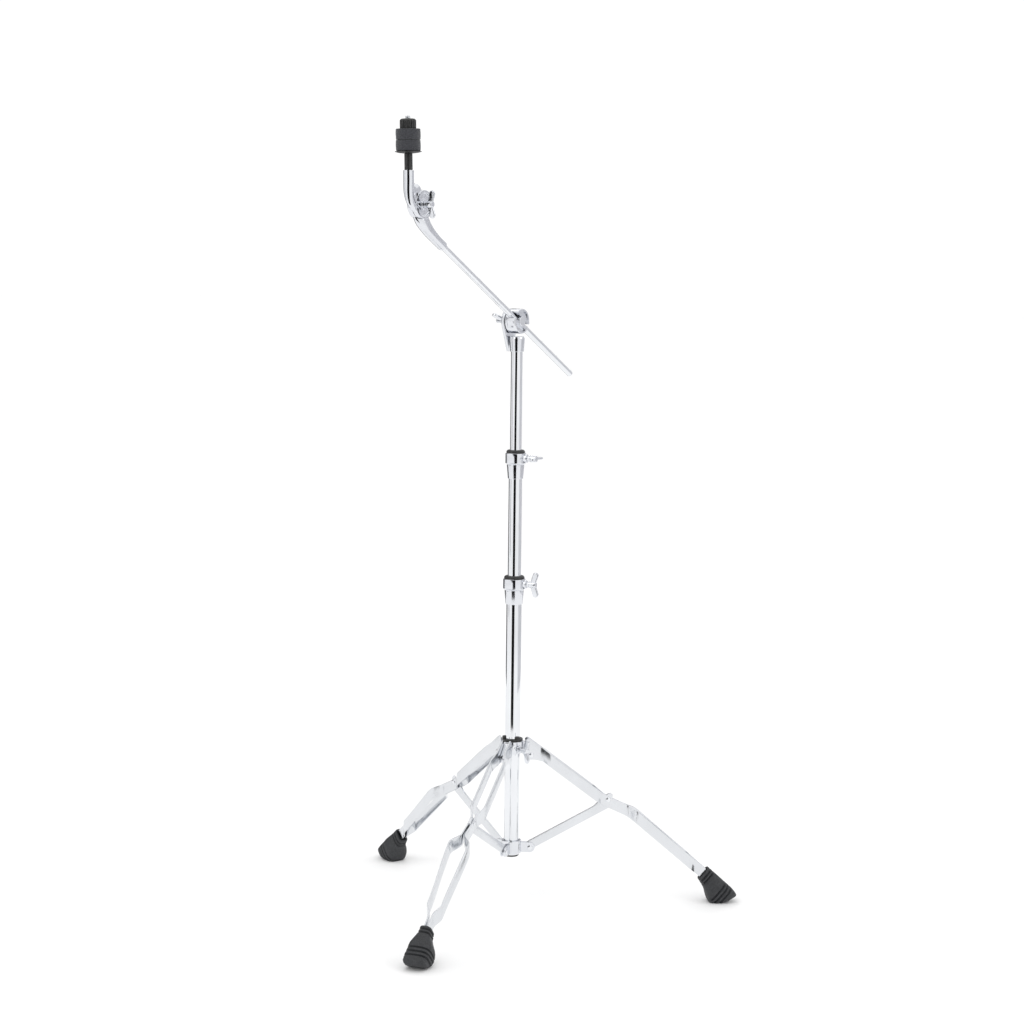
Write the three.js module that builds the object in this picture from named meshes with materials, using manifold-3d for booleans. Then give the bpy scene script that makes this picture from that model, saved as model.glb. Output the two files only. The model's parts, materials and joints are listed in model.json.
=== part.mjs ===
// Cymbal boom stand: folding tripod, three telescoping tubes with clamp locks,
// a tilting boom arm and a cymbal tilter with felts.
// Millimetres, +Z up. The boom lies in the XZ plane, its head towards -X.
import * as THREE from 'three';
import { mergeVertices } from 'three/addons/utils/BufferGeometryUtils.js';
import Module from 'manifold-3d';

const wasm = await Module();
wasm.setup();

// ---------------------------------------------------------------- driving dimensions
const gap = 0.3; // running clearance between two pieces that touch or turn
const sides = 16; // facets round a tube
const fine = 20; // facets round a large disc
const small = 10; // facets round a pin or a bolt

const lowerTube = { radius: 12.7, wall: 1.2, bottom: 91, top: 543 };
const midTube = { radius: 11.1, wall: 1.2, bottom: 330, top: 753 };
const upperTube = { radius: 9.55, wall: 1.2, bottom: 540, top: 958 };
const guide = { flange: 3.7, spigot: 12, wall: 3.4 };
const plug = { flange: 2.7, depth: 12 };

const lock = {
  ferrule: 23.7, ferruleFlare: 1.8, blockRise: 1.7, block: 17, blockWall: 5.7, tubeSeat: 25,
  bushWall: 3.1, flange: 5, flangeLip: 1.6, bossRadius: 7, bossReach: 4, boltDrop: 8.5,
};
const lockBolt = { shaft: 3.6, neck: 4.5, span: 42, hub: 6, lobe: 5.2, thickness: 4.2, rake: 5 };
const lockAzimuth = -76;

const tripod = {
  firstAzimuth: -47.4, pivotRadius: 31, hubPivot: 262, bracketPivot: 102, kneeRadius: 164,
};
const hub = {
  bodyRise: 4, body: 20, wall: 3.4, bushWall: 1.6, eye: 9, lug: 10.6, flange: 3.6, lobe: 4.5,
  boltAzimuth: 60, boltRise: 8.4, boss: 6.5, bossReach: 4, screwAzimuth: 89, screwRise: 12, screw: 2,
  earRadius: 4.6, earInset: 5.6,
};
const hubBolt = { shaft: 3.6, neck: 8, span: 41, hub: 5.6, lobe: 5.2, thickness: 4.2, rake: 5 };
const bracket = { wall: 3.5, below: 8.5, above: 13.5, ear: 2.4, eye: 8.5 };

const strip = {
  thickness: 2.4, height: 17.5, blendKnee: 9, blendShoulder: 15,
  stations: 22, tail: 9, endRound: 7, eyeDrop: 12,
};
const legLine = { hubRise: 15, shoulder: [207, 157.5], fall: 0.866, end: 346 };
const bow = { upper: 12, lower: 17, lowerEnd: 12.2, foot: 3.2 };
const brace = {
  thickness: 3, height: 15, footRise: 3.5, kneeDrop: 7, overrun: 8, endRound: 6, stations: 14,
};
const rivet = { shaft: 2.8, head: 4.6, rise: 1.9 };

const boot = {
  neckRadius: 330, length: 69, sideCount: 12, groove: 0.9, lip: 0.8, pitch: 7, wallGap: 1.4, socket: 31.5,
};
const footRivet = { shaft: 2, head: 3.2, rise: 0.9, along: 9 };

const boom = { pivot: 988, slope: 30.64, radius: 5, head: -284, tail: 182, pipPitch: 50.8, pip: 1.7 };
const holder = { radius: 20.5, front: 10.5, back: 10.8, pocket: 2.4, pocketEdge: 3.4 };
const eyeBolt = { radius: 8, proud: 0.6, shaft: 4, reach: 41 };
const tilterBase = { bottom: 938, top: 963, lower: 11.3, upper: 12.8, ear: 6, washer: 0.9, foot: 6 };
const wingNut = { hub: 6.4, span: 44, lobe: 5.4, thickness: 4.4, rake: 9, turn: 89.4 };

const joint = { along: -317, rise: 25.5, disc: 22, plate: 8.6, split: 0.4, slit: 0.7 };
const socket = { end: -236, radius: 8, pinAlong: -258 };
const stem = { offset: -28, top: 52, radius: 8.2, lean: -1.8, bore: 26 };
const clutchBolt = { shaft: 3.8, neck: 3, span: 43, hub: 6, lobe: 5.2, thickness: 4.2, rake: 5 };
const pin = { radius: 1.5 };

const rod = { radius: 4, top: 134.4 };
const sleeve = { radius: 6.3, neck: 5.4, shoulder: 77, top: 113 };
const washer = { radius: 20.6, rim: 0.9, rise: 3.3 };
const felt = { radius: 19.4, height: 16.7 };
const cap = { radius: 12.6, height: 15, flutes: 20, flute: 0.9 };

// ---------------------------------------------------------------- materials
const chrome = new THREE.MeshStandardMaterial({ color: 0xd9dbde, roughness: 0.12, metalness: 1 });
const chromeStrip = new THREE.MeshStandardMaterial({ color: 0xe4e6e8, roughness: 0.22, metalness: 1 });
const chromeCast = new THREE.MeshStandardMaterial({ color: 0xcfd2d6, roughness: 0.18, metalness: 1 });
const nylon = new THREE.MeshStandardMaterial({ color: 0x17191b, roughness: 0.55, metalness: 0 });
const rubber = new THREE.MeshStandardMaterial({ color: 0x1b1d1f, roughness: 0.8, metalness: 0 });
const plastic = new THREE.MeshStandardMaterial({ color: 0x141517, roughness: 0.4, metalness: 0 });
const feltGrey = new THREE.MeshStandardMaterial({ color: 0x484b52, roughness: 1, metalness: 0 });

// ---------------------------------------------------------------- solids and placing
const rad = THREE.MathUtils.degToRad;
const vec = (x, y, z) => new THREE.Vector3(x, y, z);

function signedVolume(geometry) {
  const p = geometry.attributes.position;
  const order = geometry.index.array;
  const [a, b, c] = [vec(0, 0, 0), vec(0, 0, 0), vec(0, 0, 0)];
  let sum = 0;
  for (let i = 0; i < order.length; i += 3) {
    a.fromBufferAttribute(p, order[i]);
    b.fromBufferAttribute(p, order[i + 1]);
    c.fromBufferAttribute(p, order[i + 2]);
    sum += a.dot(b.cross(c)) / 6;
  }
  return sum;
}

// A closed geometry as a solid whose faces point outwards.
function solid(geometry) {
  const bare = geometry.clone();
  bare.deleteAttribute('normal');
  bare.deleteAttribute('uv');
  const merged = mergeVertices(bare, 1e-4);
  const order = Uint32Array.from(merged.index.array);
  if (signedVolume(merged) < 0) order.reverse();
  const vertProperties = Float32Array.from(merged.attributes.position.array);
  return new wasm.Manifold(new wasm.Mesh({ numProp: 3, vertProperties, triVerts: order }));
}

function part(parent, name, body, material) {
  const data = body.getMesh();
  const geometry = new THREE.BufferGeometry();
  geometry.setAttribute('position', new THREE.BufferAttribute(Float32Array.from(data.vertProperties), 3));
  geometry.setIndex(new THREE.BufferAttribute(Uint32Array.from(data.triVerts), 1));
  geometry.computeVertexNormals();
  const mesh = new THREE.Mesh(geometry, material);
  mesh.name = name;
  parent.add(mesh);
  return mesh;
}

const join = (...bodies) => bodies.reduce((sum, body) => sum.add(body));
const cut = (body, ...tools) => tools.reduce((rest, tool) => rest.subtract(tool), body);

function turned(azimuth, parent) {
  const group = new THREE.Group();
  group.rotation.z = rad(azimuth);
  parent.add(group);
  return group;
}

// ---------------------------------------------------------------- basic forms
// Revolves [radius, height] points about Z. A profile off the axis closes on itself.
function revolve(points, count = sides) {
  const outline = points.map(([r, z]) => new THREE.Vector2(r, z));
  const offAxis = points[0][0] > 0;
  if (offAxis) outline.push(outline[0].clone());
  return new THREE.LatheGeometry(outline, count).rotateX(Math.PI / 2);
}

const rodForm = (r, z0, z1, count = sides, edge = 0) => revolve([
  [0, z0], [r - edge, z0], ...(edge ? [[r, z0 + edge]] : []),
  ...(edge ? [[r, z1 - edge]] : []), [r - edge, z1], [0, z1],
], count);

const tubeForm = (rIn, rOut, z0, z1, count = sides) => revolve(
  [[rIn, z0], [rOut, z0], [rOut, z1], [rIn, z1]], count);

const alongX = (geometry) => geometry.rotateY(Math.PI / 2);
const alongY = (geometry) => geometry.rotateX(-Math.PI / 2);
const moved = (geometry, x, y, z) => geometry.translate(x, y, z);

// Extrudes a shape drawn in X and Z from y0 to y1.
function plate(shape, y0, y1, curveSegments = 5) {
  const options = { depth: y1 - y0, bevelEnabled: false, curveSegments };
  return new THREE.ExtrudeGeometry(shape, options).rotateX(Math.PI / 2).translate(0, y1, 0);
}

const block = (x0, x1, y0, y1, z0, z1) => new THREE.BoxGeometry(x1 - x0, y1 - y0, z1 - z0)
  .translate((x0 + x1) / 2, (y0 + y1) / 2, (z0 + z1) / 2);

// Outline round two circles, joined by their outer tangents.
function link([x0, y0, r0], [x1, y1, r1]) {
  const heading = Math.atan2(y1 - y0, x1 - x0);
  const spread = Math.acos((r0 - r1) / Math.hypot(x1 - x0, y1 - y0));
  const shape = new THREE.Shape();
  shape.absarc(x0, y0, r0, heading + spread, heading - spread + 2 * Math.PI, false);
  shape.absarc(x1, y1, r1, heading - spread, heading + spread, false);
  shape.closePath();
  return shape;
}

// Skins rings of points; every ring has the same count, and both ends are capped.
function loft(rings) {
  const count = rings[0].length;
  const order = [];
  for (let i = 0; i + 1 < rings.length; i += 1) {
    for (let j = 0; j < count; j += 1) {
      const a = i * count + j;
      const b = i * count + ((j + 1) % count);
      order.push(a, b, b + count, a, b + count, a + count);
    }
  }
  const last = (rings.length - 1) * count;
  for (let j = 1; j + 1 < count; j += 1) order.push(0, j + 1, j, last, last + j, last + j + 1);
  const geometry = new THREE.BufferGeometry();
  const points = rings.flat().flatMap((p) => [p.x, p.y, p.z]);
  geometry.setAttribute('position', new THREE.Float32BufferAttribute(points, 3));
  geometry.setIndex(order);
  return geometry;
}

// A cast arm: oval sections along a curve in X and Z. A station is [x, y, z, in-plane, across].
function castArm(stations, steps = 8, count = 12) {
  const centres = new THREE.CatmullRomCurve3(stations.map(([x, y, z]) => vec(x, y, z)));
  const sizes = new THREE.CatmullRomCurve3(stations.map((s) => vec(s[3], s[4], 0)));
  const rings = [];
  for (let i = 0; i <= steps; i += 1) {
    const centre = centres.getPoint(i / steps);
    const size = sizes.getPoint(i / steps);
    const along = centres.getTangent(i / steps);
    const normal = vec(-along.z, 0, along.x).normalize();
    rings.push(Array.from({ length: count }, (_, j) => {
      const angle = (2 * Math.PI * j) / count;
      const point = centre.clone().addScaledVector(normal, size.x * Math.cos(angle));
      point.y += size.y * Math.sin(angle);
      return point;
    }));
  }
  return loft(rings);
}

// Straight runs through [x, z] points whose corners are rounded over a half width.
function softLine(points, widths) {
  const slope = (i) => (points[i + 1][1] - points[i][1]) / (points[i + 1][0] - points[i][0]);
  return (x) => {
    let run = 0;
    while (run < points.length - 2 && x > points[run + 1][0]) run += 1;
    let z = points[run][1] + slope(run) * (x - points[run][0]);
    for (let corner = 1; corner < points.length - 1; corner += 1) {
      const width = widths[corner - 1];
      const inside = width - Math.abs(x - points[corner][0]);
      if (inside > 0) z += ((slope(corner) - slope(corner - 1)) * inside * inside) / (4 * width);
    }
    return z;
  };
}

// Steps smoothly between [x, value] points.
function softSteps(points) {
  return (x) => {
    let run = 0;
    while (run < points.length - 2 && x > points[run + 1][0]) run += 1;
    const [[x0, a], [x1, b]] = [points[run], points[run + 1]];
    return a + (b - a) * THREE.MathUtils.smoothstep(x, x0, x1);
  };
}

// ---------------------------------------------------------------- fasteners
// A pin with domed heads along Y; grip is half the thickness that it holds.
function rivetForm(grip, { shaft, head, rise } = rivet, count = 8) {
  const end = grip + rise;
  return alongY(revolve([
    [0, -end], [head * 0.7, -end], [head, -grip], [shaft, -grip],
    [shaft, grip], [head, grip], [head * 0.7, end], [0, end],
  ], count));
}

// Wings in the XZ plane about a hub that starts at x = start.
function wings({ span, hub: hubRadius, lobe, thickness, rake }, start) {
  const tip = span / 2 - lobe;
  const middle = start + hubRadius;
  const pair = [-1, 1].map((way) => {
    const outline = link([middle, 0, hubRadius * 0.8], [middle + rake, way * tip, lobe]);
    return plate(outline, -thickness / 2, thickness / 2, 4);
  });
  const boss = alongX(rodForm(hubRadius, start, start + 2 * hubRadius, small, 1));
  return join(solid(boss), ...pair.map(solid));
}

// A wing bolt along +X whose point is at x = tip and whose wings start at x = head.
function wingBolt(size, tip, head) {
  const shaft = alongX(rodForm(size.shaft, tip, head + 1, small, 0.6));
  const neck = alongX(rodForm(size.shaft + 1.2, head - size.neck, head + 1, small));
  return join(solid(shaft), solid(neck), wings(size, head));
}

// ---------------------------------------------------------------- column
const stand = new THREE.Group();

function buildTube(name, size) {
  part(stand, name, solid(tubeForm(size.radius - size.wall, size.radius, size.bottom, size.top)), chrome);
}

// A nylon ring plugged into the bottom of a tube; it runs in the bore of the tube outside.
function buildGuide(name, inner, outer) {
  const running = outer.radius - outer.wall - gap;
  const bore = inner.radius - inner.wall - gap;
  const hole = bore - guide.wall;
  const under = inner.bottom - gap;
  const ring = revolve([
    [hole, under - guide.flange], [running - 0.6, under - guide.flange],
    [running, under - guide.flange + 0.6],
    [running, under], [bore, under], [bore, under + guide.spigot - 1], [bore - 1, under + guide.spigot],
    [hole, under + guide.spigot],
  ]);
  part(stand, name, solid(ring), nylon);
}

function buildPlug() {
  const spigot = lowerTube.radius - lowerTube.wall - gap;
  const under = lowerTube.bottom - gap;
  const outline = [
    [0, under - plug.flange], [lowerTube.radius - 1.5, under - plug.flange],
    [lowerTube.radius - 0.2, under - plug.flange + 1.3], [lowerTube.radius - 0.2, under],
    [spigot, under], [spigot, under + plug.depth], [0, under + plug.depth],
  ];
  part(stand, 'bottom_plug', solid(revolve(outline)), nylon);
}

// A clamp lock on top of an outer tube: a cast collar, a nylon bush and a wing bolt.
function buildLock(prefix, outer, inner, flat) {
  const arm = turned(lockAzimuth, stand);
  const base = outer.top - lock.tubeSeat;
  const seat = outer.radius + gap;
  const bushRadius = inner.radius + gap + lock.bushWall;
  const blockBase = base + lock.ferrule + lock.blockRise;
  const top = blockBase + lock.block;
  const blockRadius = seat + lock.blockWall;
  const boltHeight = top - lock.boltDrop;
  const collar = revolve([
    [seat, base], [seat + 1, base], [seat + 1.3, base + 0.8],
    [seat + 1.3 + lock.ferruleFlare, base + lock.ferrule - 2],
    [seat + 1 + lock.ferruleFlare, base + lock.ferrule], [blockRadius - 0.6, blockBase],
    [blockRadius, blockBase + 1], [blockRadius, top - 1.2], [blockRadius - 1.2, top],
    [bushRadius + gap, top], [bushRadius + gap, outer.top + gap], [seat, outer.top + gap],
  ]);
  const bossEnd = blockRadius + lock.bossReach;
  const boss = moved(alongX(rodForm(lock.bossRadius, bushRadius + 1, bossEnd, 16, 1)), 0, 0, boltHeight);
  const hole = moved(alongX(rodForm(lockBolt.shaft + gap, 0, bossEnd + 5, small)), 0, 0, boltHeight);
  const bore = rodForm(bushRadius + gap, outer.top + gap, top + 5);
  const collarBody = cut(join(solid(collar), cut(solid(boss), solid(bore))), solid(hole));
  part(arm, `${prefix}_collar`, collarBody, chromeCast);

  const lip = blockRadius - lock.flangeLip;
  const bush = revolve([
    [inner.radius + gap, outer.top + 2 * gap], [bushRadius, outer.top + 2 * gap], [bushRadius, top + gap],
    [lip, top + gap], [lip, top + gap + lock.flange * 0.5], [lip - 2, top + gap + lock.flange],
    [inner.radius + gap, top + gap + lock.flange],
  ]);
  part(arm, `${prefix}_bush`, cut(solid(bush), solid(hole)), nylon);

  const bolt = wingBolt(lockBolt, inner.radius + gap, bossEnd + lockBolt.neck);
  const mesh = part(arm, `${prefix}_wing_bolt`, bolt, chromeCast);
  mesh.position.z = boltHeight;
  mesh.rotation.x = flat ? rad(90) : 0;
}

// ---------------------------------------------------------------- tripod
const kneeHeight = (tripod.hubPivot + tripod.bracketPivot) / 2;
const hubBase = tripod.hubPivot + hub.bodyRise;
const legHalfSpacing = hub.lug / 2 + gap + strip.thickness / 2;
const kneeHalfSpacing = brace.thickness / 2 + gap + strip.thickness / 2;

function buildHub() {
  const bushOuter = lowerTube.radius + gap + hub.bushWall;
  const bore = bushOuter + gap;
  const outer = bore + hub.wall;
  const top = hubBase + hub.body;
  const body = revolve([
    [bore, hubBase], [outer - 1, hubBase], [outer, hubBase + 1], [outer, top - 1.5],
    [outer - 1.5, top], [bore, top],
  ]);
  const lugs = [];
  const holes = [];
  for (let leg = 0; leg < 3; leg += 1) {
    const turn = rad(tripod.firstAzimuth + 120 * leg);
    const shape = link([outer, top - hub.eye - 1, hub.eye], [tripod.pivotRadius, tripod.hubPivot, hub.eye]);
    lugs.push(plate(shape, -hub.lug / 2, hub.lug / 2, 4).rotateZ(turn));
    const drill = alongY(rodForm(rivet.shaft + gap, -20, 20, small));
    holes.push(moved(drill, tripod.pivotRadius, 0, tripod.hubPivot).rotateZ(turn));
  }
  const boltTurn = rad(tripod.firstAzimuth - hub.boltAzimuth);
  const boltHeight = hubBase + hub.boltRise;
  const radial = (form, height, turn) => moved(alongX(form), 0, 0, height).rotateZ(turn);
  const bossEnd = outer + hub.bossReach;
  const boss = radial(rodForm(hub.boss, bore - 1, bossEnd, 16, 1), boltHeight, boltTurn);
  const boltHole = radial(rodForm(hubBolt.shaft + gap, 0, 60, small), boltHeight, boltTurn);
  const screwTurn = rad(tripod.firstAzimuth - hub.screwAzimuth);
  const screwHeight = hubBase + hub.screwRise;
  const screwHole = radial(rodForm(hub.screw + gap, 0, 60, small), screwHeight, screwTurn);
  const throat = solid(rodForm(bore, tripod.hubPivot - 30, top + 30));
  const cast = join(solid(body), ...lugs.map(solid), solid(boss));
  const whole = cut(cast, throat, solid(boltHole), solid(screwHole));
  part(stand, 'leg_hub', cut(whole, ...holes.map(solid)), chromeCast);

  const flangeTop = top + gap + hub.flange;
  const bush = revolve([
    [lowerTube.radius + gap, hubBase], [bushOuter, hubBase], [bushOuter, top + gap], [outer - 1, top + gap],
    [outer - 1, flangeTop - 1], [outer - 2, flangeTop], [lowerTube.radius + gap, flangeTop],
  ]);
  const ears = [0, 1, 2].map((leg) => {
    const form = rodForm(hub.earRadius, flangeTop - 1, flangeTop + hub.lobe, 12, 1.4);
    const ear = moved(form, outer - hub.earInset, 0, 0);
    return solid(ear.rotateZ(rad(tripod.firstAzimuth - 60 + 120 * leg)));
  });
  const tubeRoom = solid(rodForm(lowerTube.radius + gap, hubBase - 5, flangeTop + 20));
  const bushBody = cut(join(solid(bush), ...ears), tubeRoom, solid(boltHole), solid(screwHole));
  part(stand, 'hub_bush', bushBody, nylon);

  const bolt = wingBolt(hubBolt, lowerTube.radius + gap, bossEnd + hubBolt.neck);
  const boltArm = turned(tripod.firstAzimuth - hub.boltAzimuth, stand);
  const boltMesh = part(boltArm, 'hub_wing_bolt', bolt, chromeCast);
  boltMesh.position.z = boltHeight;

  const screw = join(
    solid(alongX(rodForm(hub.screw, lowerTube.radius + gap + 0.4, outer + 1, small))),
    solid(alongX(rodForm(2 * hub.screw, outer + gap, outer + 2.6, 14, 0.8))),
  );
  const screwArm = turned(tripod.firstAzimuth - hub.screwAzimuth, stand);
  const screwMesh = part(screwArm, 'hub_set_screw', screw, chrome);
  screwMesh.position.z = screwHeight;
}

function buildBracket() {
  const seat = lowerTube.radius + gap;
  const outer = seat + bracket.wall;
  const low = tripod.bracketPivot - bracket.below;
  const high = tripod.bracketPivot + bracket.above;
  const inner = brace.thickness / 2 + gap;
  const ears = [];
  const holes = [];
  for (let leg = 0; leg < 3; leg += 1) {
    const turn = rad(tripod.firstAzimuth + 120 * leg);
    const shape = new THREE.Shape();
    shape.moveTo(seat + 1, low);
    shape.lineTo(tripod.pivotRadius, low);
    shape.absarc(tripod.pivotRadius, tripod.bracketPivot, bracket.eye, -Math.PI / 2, rad(35), false);
    shape.lineTo(tripod.pivotRadius + 3, high);
    shape.lineTo(seat + 1, high);
    for (const way of [-1, 1]) {
      const near = way * inner;
      const far = way * (inner + bracket.ear);
      ears.push(plate(shape, Math.min(near, far), Math.max(near, far), 3).rotateZ(turn));
    }
    const drill = alongY(rodForm(rivet.shaft + gap, -20, 20, small));
    holes.push(moved(drill, tripod.pivotRadius, 0, tripod.bracketPivot).rotateZ(turn));
  }
  const collar = revolve([
    [seat, low], [outer - 0.8, low], [outer, low + 0.8],
    [outer, high - 0.8], [outer - 0.8, high], [seat, high],
  ]);
  const throat = solid(rodForm(seat, low - 5, high + 5));
  const body = cut(join(solid(collar), ...ears.map((ear) => cut(solid(ear), throat))), ...holes.map(solid));
  part(stand, 'brace_bracket', body, chromeCast);
}

// Centre line of a leg's two strips, seen from the side.
const knee = [tripod.kneeRadius - 6, kneeHeight - 1.5];
const legEnd = [legLine.end, legLine.shoulder[1] - legLine.fall * (legLine.end - legLine.shoulder[0])];
const legCentre = softLine(
  [[tripod.pivotRadius, tripod.hubPivot + legLine.hubRise], knee, legLine.shoulder, legEnd],
  [strip.blendKnee, strip.blendShoulder]);

// Distance of a strip from the leg's middle plane: pinched at the hub, knee and foot, bowed between.
const legBow = softSteps([
  [tripod.pivotRadius + 15, legHalfSpacing], [tripod.pivotRadius + 33, bow.upper],
  [tripod.kneeRadius - 24, bow.upper], [tripod.kneeRadius - 8, kneeHalfSpacing],
  [legLine.shoulder[0] - 11, kneeHalfSpacing], [legLine.shoulder[0] + 7, bow.lower],
  [boot.neckRadius - 27, bow.lowerEnd], [boot.neckRadius - 12, bow.foot], [legLine.end, bow.foot],
]);

function legStrip(way) {
  const inner = tripod.pivotRadius - strip.tail;
  const stations = [];
  for (let i = 0; i <= strip.stations; i += 1) {
    stations.push(inner + ((legLine.end - inner) * i) / strip.stations);
  }
  const rings = stations.map((r) => {
    const slope = (legCentre(r + 1) - legCentre(r - 1)) / 2;
    const half = (strip.height / 2) * Math.hypot(1, slope);
    const nearHub = THREE.MathUtils.clamp((tripod.pivotRadius + 30 - r) / 30, 0, 1.3);
    const ear = strip.eyeDrop * nearHub * nearHub;
    const round = strip.endRound * Math.max(0, 1 - (r - inner) / strip.endRound) ** 2;
    const high = legCentre(r) + half - round;
    const lowest = nearHub > 0 ? tripod.hubPivot - hub.eye - 2 : 0;
    const low = Math.max(legCentre(r) - half - ear, lowest) + round;
    const mid = way * legBow(Math.max(r, tripod.pivotRadius + 15));
    const [near, far] = [mid - strip.thickness / 2, mid + strip.thickness / 2];
    return [vec(r, near, low), vec(r, far, low), vec(r, far, high), vec(r, near, high)];
  });
  return solid(loft(rings));
}

function braceBody() {
  const start = tripod.pivotRadius - brace.overrun;
  const end = tripod.kneeRadius + brace.overrun;
  const a = [tripod.pivotRadius, tripod.bracketPivot + brace.footRise];
  const b = [tripod.kneeRadius, kneeHeight - brace.kneeDrop];
  const slope = (b[1] - a[1]) / (b[0] - a[0]);
  const half = (brace.height / 2) * Math.hypot(1, slope);
  const rings = [];
  for (let i = 0; i <= brace.stations; i += 1) {
    const share = i / brace.stations;
    const r = start + (end - start) * (share + 0.06 * Math.sin(2 * Math.PI * share));
    const centre = a[1] + slope * (r - a[0]);
    const fromEnd = Math.min(r - start, end - r);
    const round = brace.endRound * Math.max(0, 1 - fromEnd / brace.endRound) ** 2;
    const nearKnee = THREE.MathUtils.smoothstep(r, tripod.kneeRadius - 26, tripod.kneeRadius - 8);
    const ear = (brace.kneeDrop + 1) * nearKnee;
    const [low, high] = [centre - half + round, centre + half + ear - round];
    const y = brace.thickness / 2;
    rings.push([vec(r, -y, low), vec(r, y, low), vec(r, y, high), vec(r, -y, high)]);
  }
  return solid(loft(rings));
}

// A rubber boot drawn along the leg's end. Depths are below and above the leg's centre line.
const bootBelow = softLine(
  [[0, 13.2], [8, 15.4], [21, 19.8], [32, 27.4], [41, 32.2], [48, 27.6], [54, 22.4], [61, 15.4], [69, -5]],
  [3, 4, 5, 4, 3, 3, 3]);
const bootAbove = softLine([[0, 13.2], [60, 11.8], [69, 9.6]], [5]);
const bootWidth = softSteps([[0, 9.8], [9, 10.6], [34, 20.4], [50, 21], [60, 19.5], [70, 12]]);
const bootGrooves = [5, 11, 39, 46, 53];

function bootBody() {
  const angle = Math.atan(legLine.fall);
  const ahead = vec(Math.cos(angle), 0, -Math.sin(angle));
  const up = vec(Math.sin(angle), 0, Math.cos(angle));
  const origin = vec(boot.neckRadius, 0, legCentre(boot.neckRadius));
  const stations = [0, boot.lip];
  for (let s = boot.pitch; s < boot.length - 2; s += boot.pitch) stations.push(s);
  stations.push(boot.length - 1, boot.length);
  for (const groove of bootGrooves) stations.push(groove - 1.1, groove, groove + 1.1);
  stations.sort((a, b) => a - b);
  const spaced = stations.filter((s, i) => i === 0 || s - stations[i - 1] > 0.45);
  const rings = spaced.map((s) => {
    const dip = bootGrooves.includes(s) ? boot.groove : 0;
    const end = s < 0.5 || s > boot.length - 0.5 ? boot.lip : 0;
    const [low, high] = [-bootBelow(s) + dip + end, bootAbove(s) - dip - end];
    const halfHeight = (high - low) / 2;
    const halfWidth = bootWidth(s) - dip - end;
    return Array.from({ length: boot.sideCount }, (_, j) => {
      const turn = (2 * Math.PI * (j + 0.5)) / boot.sideCount;
      const [c, n] = [Math.cos(turn), Math.sin(turn)];
      const across = halfWidth * Math.sign(c) * Math.abs(c) ** 0.6;
      const height = (low + high) / 2 + halfHeight * Math.sign(n) * Math.abs(n) ** 0.6;
      return origin.clone().addScaledVector(ahead, s).addScaledVector(up, height).setY(across);
    });
  });
  const cavityWidth = bow.foot + strip.thickness / 2 + boot.wallGap;
  const cavityHeight = strip.height / 2 + 2 * gap;
  const cavity = block(-6, boot.socket, -cavityWidth, cavityWidth, -cavityHeight, cavityHeight);
  cavity.rotateY(angle).translate(origin.x, 0, origin.z);
  const floor = block(0, 600, -100, 100, -60, 0);
  return cut(solid(loft(rings)), solid(cavity), solid(floor));
}

function buildLeg(number) {
  const arm = turned(tripod.firstAzimuth + 120 * (number - 1), stand);
  const drill = (x, z, r = rivet.shaft) => solid(moved(alongY(rodForm(r + gap, -20, 20, small)), x, 0, z));
  const knees = drill(tripod.kneeRadius, kneeHeight);
  const hubs = drill(tripod.pivotRadius, tripod.hubPivot);
  const tipRadius = boot.neckRadius + footRivet.along;
  const tipPlace = [tipRadius, legCentre(tipRadius)];
  const tips = drill(tipPlace[0], tipPlace[1], footRivet.shaft);
  part(arm, `leg_${number}_left_strip`, cut(legStrip(1), knees, hubs, tips), chromeStrip);
  part(arm, `leg_${number}_right_strip`, cut(legStrip(-1), knees, hubs, tips), chromeStrip);
  const braces = cut(braceBody(), knees, drill(tripod.pivotRadius, tripod.bracketPivot));
  part(arm, `brace_${number}`, braces, chromeStrip);
  part(arm, `foot_${number}`, bootBody(), rubber);

  const half = strip.thickness / 2 + gap;
  const pins = [
    [`hub_rivet_${number}`, legHalfSpacing + half, tripod.pivotRadius, tripod.hubPivot, rivet],
    [`knee_rivet_${number}`, kneeHalfSpacing + half, tripod.kneeRadius, kneeHeight, rivet],
    [`bracket_rivet_${number}`, brace.thickness / 2 + bracket.ear + 2 * gap, tripod.pivotRadius,
      tripod.bracketPivot, rivet],
    [`foot_rivet_${number}`, bow.foot + half, tipPlace[0], tipPlace[1], footRivet],
  ];
  for (const [name, grip, x, z, size] of pins) {
    part(arm, name, solid(moved(rivetForm(grip, size), x, 0, z)), chrome);
  }
}

// ---------------------------------------------------------------- boom tilter
// The boom's own frame: X along the arm towards the tail, Y across, pivot at the origin.
const boomFrame = new THREE.Group();
boomFrame.position.set(0, 0, boom.pivot);
boomFrame.rotation.y = rad(boom.slope);
stand.add(boomFrame);

const earStart = holder.back + gap + tilterBase.washer + gap;
const armRoom = boom.radius + gap + 0.1;

function buildTilterBase() {
  const seat = upperTube.radius + gap;
  const { bottom, top, lower, upper } = tilterBase;
  const earEnd = earStart + tilterBase.ear;
  const outline = link([0, boom.pivot, holder.radius], [0, bottom + tilterBase.foot, tilterBase.foot]);
  const ear = plate(outline, earStart, earEnd, 10);
  const web = block(-tilterBase.foot, tilterBase.foot, 0, earEnd - 1, bottom, top - 1);
  const throat = solid(rodForm(seat, bottom - 5, upperTube.top + gap));
  const hole = solid(moved(alongY(rodForm(eyeBolt.shaft + gap, 0, 60, small)), 0, 0, boom.pivot));
  const outerCollar = revolve([
    [0, bottom], [lower - 0.5, bottom], [lower, bottom + 0.5],
    [upper, top - 4], [upper - 1.5, top], [0, top],
  ]);
  const body = cut(join(solid(outerCollar), solid(ear), solid(web)), throat, hole);
  part(stand, 'boom_tilter_base', body, chromeCast);
}

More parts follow.
